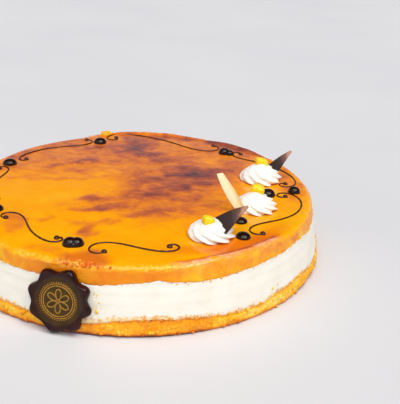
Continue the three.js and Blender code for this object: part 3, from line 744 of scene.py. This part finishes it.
def top_rows():
    """The shoulder and the flat top, from the outside in."""
    rise = through_round(RIM_RISE, AZIMUTHS)
    grain = 0.4 * wobble(AZIMUTHS, 0.5, 40, 9)
    tear = stretch_of_rim(AZIMUTHS, **LIP)
    rows = []
    for k, (inset, drop, share) in enumerate(SHOULDER_PROFILE):
        keep = 1 - inset / 8
        radius = RIM_RADIUS - inset + keep * (grain + 0.35 * wobble(AZIMUTHS, k * 0.9, 330, 62))
        crumbly = keep * 0.28 * wobble(AZIMUTHS, k * 0.8 + 0.3, 400, 64)
        height = CAKE_HEIGHT - drop + share * rise + crumbly
        height = height + 0.5 * tear * share * wobble(AZIMUTHS, 0.5, 120, 61)
        height = height - 0.5 * tear * math.exp(-(((inset - 5) / 1.2) ** 2))
        rows.append(ring_points(radius, height))
    for radius in (116, *np.arange(114.5, 3, -2.0)):
        swell = 0.1 * cloud(radius * np.cos(AZIMUTHS), radius * np.sin(AZIMUTHS), 22, 71, 2)
        rows.append(ring_points(radius, CAKE_HEIGHT + swell))
    return rows


# %% The glazed top's mesh
def soaked_relief(rows, shares):
    """Flatter crumbs, calmest where the jam ran down over them."""
    hold = np.minimum(1, 5 * np.asarray(shares) + 0.3) * mix(1, 0.3, smooth(shares, 0, 0.5))
    return crumb_relief(rows, pit_mm=2.6, depth=0.6) * hold[:, None]


shoulder_foot = CAKE_HEIGHT - SHOULDER_PROFILE[0][1] + 0.9 * through_round(RIM_RISE, AZIMUTHS)
top_side = pressed_flat(side_rows(top_edge, shoulder_foot, np.linspace(0, 1, 13)[:-1], soaked_relief))
under_top = fan_inwards(top_edge, side_radius(AZIMUTHS, top_edge), CREAM_TOP)[::-1]
top_rings = [*under_top, *top_side, *top_rows()]
top_part = ring_solid(top_rings, (0, 0, CREAM_TOP), (0, 0, CAKE_HEIGHT))
top_piece = make_piece("glazed_top", [top_part], YOLK_GLAZE, ["top_sponge"])

top_x, top_y, top_z = top_part[0].T
top_r, top_azimuth = np.hypot(top_x, top_y), np.arctan2(top_y, top_x)
from_rim = RIM_RADIUS - top_r
below_crest = CAKE_HEIGHT + through_round(RIM_RISE, top_azimuth) - top_z
side_share = smooth(below_crest, 0.9, 3.4) * smooth(-from_rim, -3.2, -0.8)
front = stretch_of_rim(top_azimuth, -96, 42, 14)
torn = stretch_of_rim(top_azimuth, **LIP)


def band(inset, width):
    """One along a line that runs inset millimetres inside the rim, fading to either side of it."""
    return np.exp(-(((from_rim - inset) / width) ** 2))


rim_band = band(0.8, 1.9) * smooth(top_z, 38.5, 40.5)
# Deeper red in the crease inside the torn lip: partly jam pooled there, partly painted shade.
crease = band(4.6, 1.5) * torn
lip_band = band(2.0, 1.9) * torn * smooth(cloud(top_x, top_y, 5, 81), -0.7, 0.2)
seeped = 0.42 * side_share * stretch_of_rim(top_azimuth, -96, 14, 18)
deep = oval_cover(top_x, top_y, DEEP_OVALS) * (1 - side_share) + 0.75 * crease + seeped
# Pale specks along the rim, strongest at the front: partly bare crumb, partly painted glints.
crust_and_glint = rim_band * (0.25 + 0.65 * front) * (1 - torn) * smooth(cloud(top_x, top_y, 9, 85), -0.6, 0.3)
paint(top_piece, "side", side_share)
paint(top_piece, "toast", toast_at(top_x, top_y) * (1 - side_share))
paint(top_piece, "deep", np.clip(deep, 0, 1))
paint(top_piece, "crust_and_glint", crust_and_glint)
paint(top_piece, "lip", 0.9 * lip_band)

# %% [markdown]
# ## The flake and the toasted crumbs on the rim
# A scrap of the film has curled up on the back rim, with pale crumb still stuck to it, so it takes the
# sponge's finish. It is a low dome whose surface is pushed about by noise. At the front, burnt sugar has
# crumbled on the rim; these are small lumps of a millimetre or so, like the sponge's crumbs further down,
# so the lump is made once: a jittered stone of twenty faces.

# %% One lump, stretched and turned
GOLDEN = (1 + 5**0.5) / 2
SIGNS = [(s, t) for s in (-1, 1) for t in (-1, 1)]
LUMP = [(s, t * GOLDEN, 0) for s, t in SIGNS]
LUMP += [(0, s, t * GOLDEN) for s, t in SIGNS]
LUMP += [(s * GOLDEN, 0, t) for s, t in SIGNS]
LUMP = np.array(LUMP, float)
LUMP_EDGE = 2.0
LUMP_REACH = 1.9  # from its middle to a corner


def lump_faces():
    """The twenty faces: every three corners that are all one edge apart, turned to face out."""
    faces = []
    gaps = np.linalg.norm(LUMP[:, None] - LUMP[None], axis=-1)
    for a, b, c in combinations(range(len(LUMP)), 3):
        if max(gaps[a, b], gaps[b, c], gaps[a, c]) < 1.05 * LUMP_EDGE:
            out = np.dot(np.cross(LUMP[b] - LUMP[a], LUMP[c] - LUMP[a]), LUMP[a])
            faces.append([a, b, c] if out > 0 else [a, c, b])
    return faces


LUMP_FACES = lump_faces()


def lump(place, size):
    jitter = np.array([random.uniform(0.65, 1.2) for _ in LUMP])[:, None]
    stretch = np.array([random.uniform(0.7, 1.3) for _ in range(3)])
    spin = Matrix.Rotation(random.uniform(0, TURN), 3, Vector((random.random(), random.random(), 1)))
    return LUMP / LUMP_REACH * jitter * stretch * size / 2 @ np.array(spin) + place, LUMP_FACES


# %% The flake and the burnt sugar
random.seed(7)
FLAKE = {"azimuth": 109, "radius": 121, "width": 11, "depth": 6, "height": 4.4}
FLAKE_WET = 0.12
SUGAR_GRAINS = 60


def flake_part(sides=72, levels=14):
    """A low ragged dome, made lying along x and then turned to its place on the rim."""
    around = turns(sides)
    rings = []
    for k in range(levels):
        lift = k / levels * math.pi / 2
        ragged_edge = 1 + 0.14 * wobble(around, k * 0.35, 9, 91) + 0.07 * wobble(around, k, 24, 92)
        share = math.cos(lift) ** 0.7 * ragged_edge
        height = FLAKE["height"] * math.sin(lift) * (1 + 0.1 * wobble(around, k * 0.3, 7, 93)) - 1
        deep = FLAKE["depth"] / 2 * share * np.cos(around)
        wide = FLAKE["width"] / 2 * share * np.sin(around)
        rings.append(np.stack([deep, wide, CAKE_HEIGHT + np.minimum(height, FLAKE["height"])], 1))
    azimuth = math.radians(FLAKE["azimuth"])
    out_x, out_y = math.cos(azimuth), math.sin(azimuth)
    spin = np.array([[out_x, out_y, 0], [-out_y, out_x, 0], [0, 0, 1]])
    points, faces = ring_solid(rings)
    return points @ spin + (FLAKE["radius"] * out_x, FLAKE["radius"] * out_y, 0), faces


flake_piece = make_piece("torn_flake", [flake_part()], SPONGE_CRUMB, ["top_sponge"])
paint(flake_piece, "soak_and_shade", np.full(len(flake_piece.data.vertices), FLAKE_WET))

sugar_parts = []
for _ in range(SUGAR_GRAINS):
    azimuth = math.radians(random.gauss(-99, 3.2))
    inset = random.uniform(-0.1, 4.5)
    drop = float(through([row[:2] for row in SHOULDER_PROFILE], inset))
    radius = RIM_RADIUS - inset
    place = (radius * math.cos(azimuth), radius * math.sin(azimuth), CAKE_HEIGHT - drop - 0.2)
    sugar_parts.append(lump(place, min(1.0 + random.expovariate(1.6), 2.4)))
sugar_piece = make_piece("burnt_sugar", sugar_parts, YOLK_GLAZE)
for name, choices in (("toast", (0.1, 0.25, 0.4, 0.5)), ("deep", (0.2, 0.5, 0.7))):
    paint(sugar_piece, name, np.repeat([random.choice(choices) for _ in sugar_parts], len(LUMP)))

# %% [markdown]
# ## Piped chocolate
# A piping bag draws a line that keeps its width and swells to a bead where the hand stops. Each scroll is
# an S whose heading turns slowly in the middle and ever faster towards the ends; adding up short steps
# along that heading draws it. The line is a stack of half-round rings along the path.

# %% Scrolls and beads
LINE_WIDTH = 1.3
LINE_HEIGHT = 0.8
BEAD_RADIUS = 1.9
BEAD_HEIGHT = 1.6
SCROLLS = [  # middle, heading there, lengths and turns of the two halves, lateness, bow, hand
    ((-54, -89.5), -51, (53, 28.7), (306, 251), 2.7, 2.1, 1),
    ((19.1, -103.3), -12, (57, 28.7), (322, 263), 1.73, 2, 1),
    ((112.3, -35.3), 62, (61.1, 55.3), (267, 291), 3.4, 2.6, 1),
    ((105.3, 48.9), 130, (59.1, 60.2), (300, 311), 4.1, 1.8, -1),
    ((2.4, 111.5), 155, (78, 65), (252, 312), 2.95, 1.2, 1),
    ((-89, 62.5), -130, (61.1, 32), (219, 224), 4.3, 1.9, 1),
    ((-102.2, -11), -94, (45.4, 44), (285, 290), 4.2, 0.8, 1),
]


def scroll_path(middle, heading, lengths, turns, late, bow, hand, steps=90):
    """Points along the scroll and the heading at each."""
    halves = []
    for side, length, turn in zip((-1, 1), lengths, turns):
        t = np.arange(steps + 1) / steps
        curl = hand * math.radians(turn) * t ** (late + 1)
        angle = math.radians(heading) + side * bow * length * t / 100 + curl
        middles = (angle[1:] + angle[:-1]) / 2
        step = side * length / steps
        x = middle[0] + np.concatenate([[0], np.cumsum(step * np.cos(middles))])
        y = middle[1] + np.concatenate([[0], np.cumsum(step * np.sin(middles))])
        halves.append(np.stack([x, y, angle], 1))
    return np.vstack([halves[0][::-1], halves[1][1:]])


def piped_line(path, width=LINE_WIDTH, height=LINE_HEIGHT):
    """A half-round line with its foot just under the glaze."""
    around = np.linspace(-0.35, math.pi + 0.35, 11)
    rings = []
    for k, (x, y, angle) in enumerate(path):
        press = 1 + 0.12 * float(hashed(np.floor(k / 7), 3.0, 5))
        across = -0.5 * width * press * np.cos(around)
        up = np.maximum(height * press * np.sin(around), -0.3)
        at_x, at_y = x - across * math.sin(angle), y + across * math.cos(angle)
        rings.append(np.stack([at_x, at_y, CAKE_HEIGHT + up], 1))
    return ring_solid(rings)


def dome(x, y, radius, height, foot, sides=40, levels=12, lumpy=0.03, seed=1):
    """A drop of chocolate that has set where it fell."""
    around = turns(sides)
    wave = 1 + lumpy * (np.cos(around + seed) + 0.6 * np.cos(2 * around + 2.1 * seed))
    heights = [(foot, 0.97), (0.12 * height, 1.0)] if foot < 0 else [(foot, 0.95), (0.1 * height, 1.0)]
    for k in range(2, levels):
        lift = k / levels * math.pi / 2
        heights.append((height * math.sin(lift), math.cos(lift) ** 0.8))
    rings = []
    for z, share in heights:
        r = radius * share * mix(1, wave, 1 - 0.5 * z / height)
        rings.append(ring(x, y, r, around, CAKE_HEIGHT + z))
    return ring_solid(rings, (x, y, CAKE_HEIGHT + foot), (x, y, CAKE_HEIGHT + height))


scroll_parts = []
for scroll in SCROLLS:
    path = scroll_path(*scroll)
    scroll_parts.append(piped_line(path))
    for x, y, _ in (path[0], path[-1]):
        scroll_parts.append(dome(x, y, BEAD_RADIUS, BEAD_HEIGHT, -0.4, 24, 8, 0.1))
make_piece("piped_scrolls", scroll_parts, CHOCOLATE_LINES, ["top_sponge"])

# %% Drops
DROPS = [  # place, radius and height of each dome; where drops ran together there are several
    [(-87.3, -55, 4.7, 3.3)],
    [(-30.4, -100.6, 4.6, 4.6), (-26.4, -100.2, 4.5, 4.4), (-28.4, -100.4, 4.7, 3.4)],
    [(-101.4, 30.7, 5.3, 4)],
    [(-41.4, 92.5, 5.4, 4.1)],
    [(63.6, 80, 4.6, 4.6), (68, 78.2, 3.7, 3.6)],
    [(113.5, 0.7, 4.5, 4.2)],
    [(73.5, -78.8, 4.8, 3.2)],
    [(72.8, -55.6, 4.6, 2.9)],
    [(93.8, -7.7, 5.5, 4.8)],
]
for number, lobes in enumerate(DROPS, 1):
    parts = [dome(*lobe, 0.0, seed=number + k) for k, lobe in enumerate(lobes)]
    node = f"chocolate_drop_{number}"
    make_piece(f"set_drop_{number}", parts, CHOCOLATE_DROPS, [node])

# %% [markdown]
# ## Rosettes
# A star nozzle is held upright and turned while the cream comes out, so its ridges wind up the mound. The
# mesh is a grid whose columns follow the ridges: each ring is turned a little more than the one below it.
# Each ridge has its own strength, and the crests stand out furthest near the foot, where the cream was
# pressed against the glaze.

# %% Rosettes
ROSETTE_PROFILE = [
    (0, 0.9), (0.1, 1), (0.25, 0.99), (0.42, 0.89), (0.58, 0.73), (0.72, 0.54), (0.84, 0.36), (0.94, 0.18),
    (1, 0.02),
]
ROSETTES = [
    # body: place, radius, height, ridges, twist, first ridge; fruit: place, foot, size, heading
    # shard: left and right end of its foot, tip, width of the tip
    {
        "body": ((53.5, -79), 14.8, 12.2, 8, 150, 10),
        "fruit": ((51.5, -80.7), 8.5, (8.2, 7, 6.3), 12),
        "shard": ((56.6, -75.7, 11.2), (63.2, -86, 6), (75.6, -73.2, 18.6), 0.7),
        "dark": True,
    },
    {
        "body": ((83.5, -31.5), 14.8, 12, 9, 125, 0),
        "fruit": ((84.7, -28.3), 10.2, (9.6, 8.8, 6.4), -10),
        "shard": ((68, -40.6, 5.6), (74.1, -42.5, 6), (58, -29.6, 23.2), 2.4),
        "dark": False,
    },
    {
        "body": ((90.6, 23.5), 15.6, 13.6, 8, 130, 25),
        "fruit": ((90.4, 25.4), 11, (10.2, 8.4, 6.2), 5),
        "shard": ((97.2, 28.6, 10.4), (103.7, 24.1, 7.4), (112.8, 32.2, 21), 0.7),
        "dark": True,
    },
]
RIDGE_DEPTH = 0.13
RIDGED_SIDE = math.radians(-25)  # the nozzle was lifted away here, so the ridges stand out most
RIDGE_SIDES = 24


def rosette_part(at, radius, height, ridges, turn, phase):
    across = turns(ridges * RIDGE_SIDES)
    crest = np.cos(ridges * across)
    strength = 1 + 0.45 * hashed(np.round(ridges * across / TURN) % ridges, 1.0, phase + 3.0)
    groove = crest - 1
    rings = []
    for up in np.linspace(0, 1, 46)[:-1]:
        around = across + math.radians(phase) - math.radians(turn) * up
        calm = mix(0.3, 1.1, smooth(np.cos(around - RIDGED_SIDE), -0.8, 0.7))
        lobes = 0.06 * strength * np.maximum(crest, 0) * (1 - up) ** 3
        rough = 0.03 * wobble(around, up * 6, 14, phase + 2) + 0.012 * wobble(around, up * 14, 40, phase + 4)
        share = 1 + calm * (0.5 * RIDGE_DEPTH * strength * groove + lobes) + rough
        wide = radius * float(through(ROSETTE_PROFILE, up))
        r = wide * share * (1 + 0.05 * wobble(around, up * 2, 5, phase + 1))
        rings.append(ring(*at, r, around, CAKE_HEIGHT + up * height))
    return ring_solid(rings, (*at, CAKE_HEIGHT), (*at, CAKE_HEIGHT + height))


# %% [markdown]
# ## Fruit and shards
# The fruit was cut by hand, so its cubes are chunky, with corners worn round and small dents. A shard is a
# thin plate that leaves the cream between two corners and runs to its tip. It is bowed, because it set on a
# curved sheet, and its foot has the wavy edge of chocolate that was snapped.

# %% Fruit pieces and shards
FRUIT_PROFILE = [(0, 0.92), (0.15, 1), (0.55, 0.96), (0.82, 0.82), (1, 0.52)]
FRUIT_SLANT = 0.32  # the top was cut on a slant, highest on the left
SHARD_THICKNESS = 1.3
SHARD_SUNK = 2.2


def fruit_part(at, foot, size, heading, sides=48):
    around = turns(sides)
    square = 1 / np.maximum(np.abs(np.cos(around)), np.abs(np.sin(around))) ** 0.65
    turn = math.radians(heading)
    rings = []
    for up in np.linspace(0, 1, 16):
        dent = 0.97 + 0.09 * wobble(around, up * 1.6, 5, heading + 40)
        out = 0.5 * float(through(FRUIT_PROFILE, up)) * square * dent
        px, py = size[0] * out * np.cos(around), size[1] * out * np.sin(around)
        x = at[0] + px * math.cos(turn) - py * math.sin(turn)
        y = at[1] + px * math.sin(turn) + py * math.cos(turn)
        slant = 1 - FRUIT_SLANT * up * (0.5 + out * np.cos(around))
        rings.append(np.stack([x, y, CAKE_HEIGHT + foot + up * size[2] * slant], 1))
    return ring_solid(rings, highest=(*at, CAKE_HEIGHT + foot + size[2] * (1 - 0.3 * FRUIT_SLANT)))


def shard_part(left, right, tip, blunt, columns=14, rows=30):
    """A thin plate with a broken foot, and how near each point is to its tip and right edge."""
    a, b, c = (np.array(p, float) + (0, 0, CAKE_HEIGHT) for p in (left, right, tip))
    foot = (a + b) / 2
    width = np.linalg.norm(b - a)
    across = (b - a) / width
    length = np.linalg.norm(c - foot)
    along = (c - foot) / length
    face = np.cross(across, along)
    face /= np.linalg.norm(face)
    slope = float(along @ across)
    grid, tips, edges = [], [], []
    for row in range(rows + 1):
        share = row / rows
        for column in range(columns + 1):
            s = column / columns - 0.5
            wave = (1 - share) ** 6 * (0.5 * math.sin(column * 0.74) + 0.3 * math.sin(column * 2.1))
            belly = 0.4 * blunt * math.sin(share * math.pi)
            half = (width * 0.5 + 0.6) * (1 - share) + blunt * share + belly
            y = -SHARD_SUNK + (length + SHARD_SUNK) * share + wave
            bow = 1.1 * math.sin(share * math.pi) * (1 + 0.6 * (0.25 - s * s))
            point = foot + along * (y - s * half * slope) + face * bow
            grid.append(point + across * 2 * s * half)
            tips.append(share + 0.3 * s * share)
            # Nearness to the right edge, towards the foot: the white sheet paints its shade from this.
            edges.append(float(smooth(s, 0.1, 0.42)) * (1 - share) ** 0.6)
    grid = np.array(grid)
    half_thick = 0.5 * SHARD_THICKNESS * (1 - 0.35 * np.clip(tips, 0, 1))[:, None] * face
    points = np.vstack([grid + half_thick, grid - half_thick])
    n, under = columns + 1, len(grid)
    faces = []
    for row in range(rows):
        for column in range(columns):
            p = row * n + column
            q = under + p
            faces += [[p, p + 1, p + 1 + n, p + n], [q, q + n, q + n + 1, q + 1]]
    edge = [*range(columns), *(r * n + columns for r in range(rows))]
    edge += [*(rows * n + k for k in range(columns, 0, -1)), *(r * n for r in range(rows, 0, -1))]
    for p, q in zip(edge, edge[1:] + edge[:1]):
        faces.append([p, under + p, under + q, q])
    return (points, faces), np.array(tips + tips), np.array(edges + edges)


# %% All three rosettes, dressed
for number, rosette in enumerate(ROSETTES, 1):
    mound = rosette_part(*rosette["body"])
    make_piece(f"piped_rosette_{number}", [mound], CREAM_PIPED, [f"rosette_{number}"])
    wedge = fruit_part(*rosette["fruit"])
    make_piece(f"fruit_piece_{number}", [wedge], FRUIT_FLESH, [f"fruit_wedge_{number}"])
    plate, nearness, edges = shard_part(*rosette["shard"])
    sheet = CHOCOLATE_SPREAD if rosette["dark"] else WHITE_CHOCOLATE
    shard = make_piece(f"thin_shard_{number}", [plate], sheet, [f"chocolate_shard_{number}"], 40)
    paint(shard, "tip", nearness)
    # Painted shade along the right edge, read only by the white sheet.
    paint(shard, "edge", 0.8 * edges)

# %% [markdown]
# ## The seal
# The seal is cast like sealing wax: a puddle of chocolate is pressed with a round stamp, which leaves a
# sunk disc and pushes a lobed rim up round it. Its outline swings between a lobe radius and a valley radius
# by a cosine. The gold is printed on the disc as thin raised lines: rings, a ring of dots, and a plain
# flower of six petals.

# %% Seal body
SEAL_LOBES = [27, 70, 121.5, 165, 208, 260, 308, 348]
SEAL_SIDES = 288
LOBE_RADIUS = 20.2
VALLEY_RADIUS = 17.1
SEAL_RIM = 15.6
SEAL_DISC = 13.9
DISC_DEPTH = 1.2


def seal_outline(degrees):
    away = np.sort([degrees_away(degrees, lobe) for lobe in SEAL_LOBES], axis=0)
    share = 0.5 - 0.5 * np.cos(TURN * away[0] / (away[0] + away[1]))
    return mix(LOBE_RADIUS, VALLEY_RADIUS, share)


def seal_part():
    """The seal, and a number a point that is one on the sunk disc."""
    around = turns(SEAL_SIDES)
    outline = seal_outline(np.degrees(around))
    thick = SEAL["thickness"]
    crest = mix(SEAL_RIM, outline, 0.45)
    lobed = smooth(outline, VALLEY_RADIUS, LOBE_RADIUS)
    section = [
        (0, outline - 0.9), (0.5, outline - 0.3), (1.3, outline), (2.4, outline),
        (thick - 1.4, outline - 0.35), (thick - 0.6, outline - 0.95),
        (thick - 0.12, mix(crest, outline, 0.35)), (thick - 0.1 * lobed, crest),
        (thick - 0.15 - 0.15 * lobed, mix(crest, SEAL_RIM, 0.6)), (thick - 0.5, SEAL_RIM - 0.6),
        (thick - 0.95, SEAL_DISC + 0.55), (thick - DISC_DEPTH, SEAL_DISC),
        (thick - DISC_DEPTH, SEAL_DISC * 0.6),
    ]
    rings = [ring(0, 0, radius, around, z) for z, radius in section]
    points, faces = ring_solid(rings, (0, 0, 0), (0, 0, thick - DISC_DEPTH))
    out = np.hypot(points[:, 0], points[:, 1])
    on_disc = (points[:, 2] > 1) * (1 - smooth(out, SEAL_DISC - 1, SEAL_RIM))
    return (on_the_side(points), faces), on_disc


seal_body, on_disc = seal_part()
seal_piece = make_piece("seal_cast", [seal_body], CHOCOLATE_CAST, ["chocolate_seal"])
paint(seal_piece, "disc", on_disc)

# %% Gold print on the seal
PRINT_LOW = SEAL["thickness"] - DISC_DEPTH - 0.05
PRINT_HIGH = SEAL["thickness"] - DISC_DEPTH + 0.14


def gold_line(path, width):
    """A flat raised line that closes on itself on the disc."""
    path = np.asarray(path, float)
    ahead = np.roll(path, -1, 0) - np.roll(path, 1, 0)
    ahead /= np.linalg.norm(ahead, axis=1, keepdims=True)
    left = np.stack([-ahead[:, 1], ahead[:, 0]], 1) * width / 2
    rings = []
    for point, aside in zip(path, left):
        near, far = point - aside, point + aside
        rings.append([(*near, PRINT_LOW), (*near, PRINT_HIGH), (*far, PRINT_HIGH), (*far, PRINT_LOW)])
    points, faces = ring_solid(np.array(rings)[:, ::-1], closed_loop=True)
    return on_the_side(points), faces


def circle(radius, steps=96, middle=(0, 0)):
    return ring(*middle, radius, turns(steps), 0)[:, :2]


def petal(degrees, length, half_width, steps=40):
    """A pointed oval from the middle outwards."""
    t = turns(steps)
    u = 0.5 * length * (1 - np.cos(t)) + 0.9
    v = half_width * np.sin(t) * np.abs(np.sin(t / 2)) ** 0.4
    turn = math.radians(degrees)
    return np.stack([u * math.cos(turn) - v * math.sin(turn), u * math.sin(turn) + v * math.cos(turn)], 1)


DOTS = 48
PETALS = 6
gold_parts = [gold_line(circle(radius), width) for radius, width in ((10.5, 0.5), (9.2, 0.6))]
gold_parts += [gold_line(circle(0.2, 8, middle), 0.3) for middle in circle(11.5, DOTS)]
gold_parts += [gold_line(petal(360 / PETALS * (k + 0.5), 6.4, 1.9), 0.6) for k in range(PETALS)]
gold_parts += [gold_line(circle(0.8, 24), 0.9)]
make_piece("seal_gold_print", gold_parts, GOLD_LUSTRE)

# %% [markdown]
# ## Crumbs
# Cutting and handling drag crumbs of sponge onto the cream. Each crumb is a jittered lump of 0.4 to 2.8 mm,
# half sunk into the side; they crowd along the cut lines and thin out away from them, and a few more were
# swept up beside the seal. They are joined into one mesh, because thousands of separate objects would be
# slow.

# %% Crumbs on the side
random.seed(11)
SEAL_HALF_ANGLE = 9.5
CRUMBS = 2600
SWEPT_CRUMBS = 46


def crumb_on_side(azimuth, height, size):
    out = float(side_radius(np.array(azimuth), np.array(height))) + 0.1 * size
    return lump((out * math.cos(azimuth), out * math.sin(azimuth), height), size)


crumb_parts, crumb_soak_and_shade = [], []
for k in range(CRUMBS):
    azimuth = random.uniform(0, TURN)
    kind = k % 10
    size = min(0.4 + random.expovariate(3.0), 1.9)
    if kind < 2:
        height = float(cream_top_edge(np.array([azimuth]))[0]) + random.gauss(-0.1, 0.45)
        soak_and_shade = random.uniform(-0.1, 0.2)
    elif kind < 7:
        height = float(cream_foot_edge(np.array([azimuth]))[0]) + abs(random.gauss(0, 1.3)) - 0.4
        soak_and_shade = random.choice((-0.1, 0, 0.1, 0.3, 0.5))
    else:
        height = random.uniform(1.2, 8.0)
        size = min(0.9 + random.expovariate(1.6), 2.8)
        # Low crumbs darken towards the floor like the foot under them: partly syrup, partly painted shade.
        soak_and_shade = 0.6 * (1 - float(smooth(height, 1.5, 4.5))) + random.uniform(-0.04, 0.2)
    if degrees_away(math.degrees(azimuth), SEAL["azimuth"]) >= SEAL_HALF_ANGLE:
        crumb_parts.append(crumb_on_side(azimuth, max(height, 1.0), size))
        crumb_soak_and_shade.append(soak_and_shade)
for _ in range(SWEPT_CRUMBS):  # swept up beside the seal when it was pushed on
    azimuth = math.radians(-95.8 + abs(random.gauss(0, 1.3)))
    crumb_parts.append(crumb_on_side(azimuth, random.uniform(9.5, 27), 0.4 + random.expovariate(3.5)))
    crumb_soak_and_shade.append(random.uniform(-0.3, 0.4))
for degrees, height, size in ((-44.5, 15.2, 2.1), (-42.3, 15.9, 1.2), (-45.4, 13.6, 1.0)):
    crumb_parts.append(crumb_on_side(math.radians(degrees), height, size))
    crumb_soak_and_shade.append(-0.15)
crumb_piece = make_piece("sponge_crumbs", crumb_parts, SPONGE_CRUMB)
paint(crumb_piece, "soak_and_shade", np.repeat(crumb_soak_and_shade, len(LUMP)))

# %% [markdown]
# ## Studio
# The cake stands on a plain pale floor under soft light. A wide soft lamp high in front on the right does
# most of the work, a small one beside it gives the drops their highlights, and a very wide one fills the
# left. The surroundings are pale near the horizon and dark above, so that the far half of the gel mirrors a
# pale wall and the near half stays deep amber.

# %% Floor
FLOOR_HALF = 6.0
floor_material, floor_tree, floor_place = new_material("pale_floor")
floor_noise = add(floor_tree, "TexNoise", {"Vector": floor_place, "Scale": per_metre(400), "Detail": 2})
floor_tint = add(floor_tree, "ValToRGB", {0: floor_noise}, stops=[(0.3, "#d5d7dd"), (0.7, "#dcdde0")])
surfaced(floor_material, floor_tree, {"Base Color": floor_tint, "Roughness": 0.7})
floor_mesh = bpy.data.meshes.new("floor")
corners = [(x * FLOOR_HALF, y * FLOOR_HALF, 0) for x, y in ((-1, -1), (1, -1), (1, 1), (-1, 1))]
floor_mesh.from_pydata(corners, [], [(0, 1, 2, 3)])
floor_mesh.materials.append(floor_material)
floor_piece = bpy.data.objects.new("floor", floor_mesh)
bpy.context.collection.objects.link(floor_piece)


# %% Light
def soft_lamp(name, azimuth, elevation, spread, strength, colour):
    """A far lamp that covers spread degrees of the sky, which is how soft its shadows are."""
    data = bpy.data.lights.new(name, "SUN")
    data.angle = math.radians(spread)
    data.energy = strength
    data.color = linear(colour)[:3]
    lamp = bpy.data.objects.new(name, data)
    az, el = math.radians(azimuth), math.radians(elevation)
    towards = Vector((math.cos(az) * math.cos(el), math.sin(az) * math.cos(el), math.sin(el)))
    lamp.rotation_euler = towards.to_track_quat("Z", "Y").to_euler()
    bpy.context.collection.objects.link(lamp)


soft_lamp("key_right", -62, 66, 60, 2.35, "#fffaf4")
soft_lamp("window_right", -35, 56, 14, 0.55, "#ffffff")
soft_lamp("fill_left", -130, 52, 80, 0.95, "#fbfbff")

world = bpy.data.worlds.new("studio")
bpy.context.scene.world = world
world.use_nodes = True
sky = world.node_tree
sky.nodes.clear()
direction = add(sky, "TexCoord")
upwards = add(sky, "SeparateXYZ", {0: direction}, out=Z_PART)
dimming = add(sky, "MapRange", {0: upwards, FROM_LOW: 0.25, FROM_HIGH: 0.41}, EASED)
wall_mix = {SHARE: dimming, FIRST: linear("#d3d7e0"), SECOND: linear("#2c2c30")}
wall = add(sky, "Mix", wall_mix, COLOURS, out=MIXED)
background = add(sky, "Background", {"Color": wall, "Strength": 0.7})
add(sky, "OutputWorld", {"Surface": background})

# %% [markdown]
# ## Camera
# The camera stands about half a metre off, a little to the right of the middle, looking down by 23 degrees
# and tilted by almost 3. Its lens comes from how strongly the near rim is larger than the far one.

# %% Camera
CAMERA_PLACE = (45.6, -472.8, 232.0)
LOOK_DOWN = 22.93
TILT = 2.8
PICTURE_HEIGHT = 404
FOCAL_PIXELS = 700
camera_data = bpy.data.cameras.new("camera")
camera_data.sensor_width = 36
camera_data.lens = FOCAL_PIXELS / PICTURE_HEIGHT * camera_data.sensor_width
camera = bpy.data.objects.new("camera", camera_data)
look = Matrix.Rotation(math.radians(90 - LOOK_DOWN), 4, "X") @ Matrix.Rotation(math.radians(TILT), 4, "Z")
camera.matrix_world = Matrix.Translation(Vector(CAMERA_PLACE) * MM) @ look
bpy.context.collection.objects.link(camera)
bpy.context.scene.camera = camera
bpy.context.scene.view_settings.view_transform = "Standard"
print("lens in mm:", round(camera_data.lens, 1))
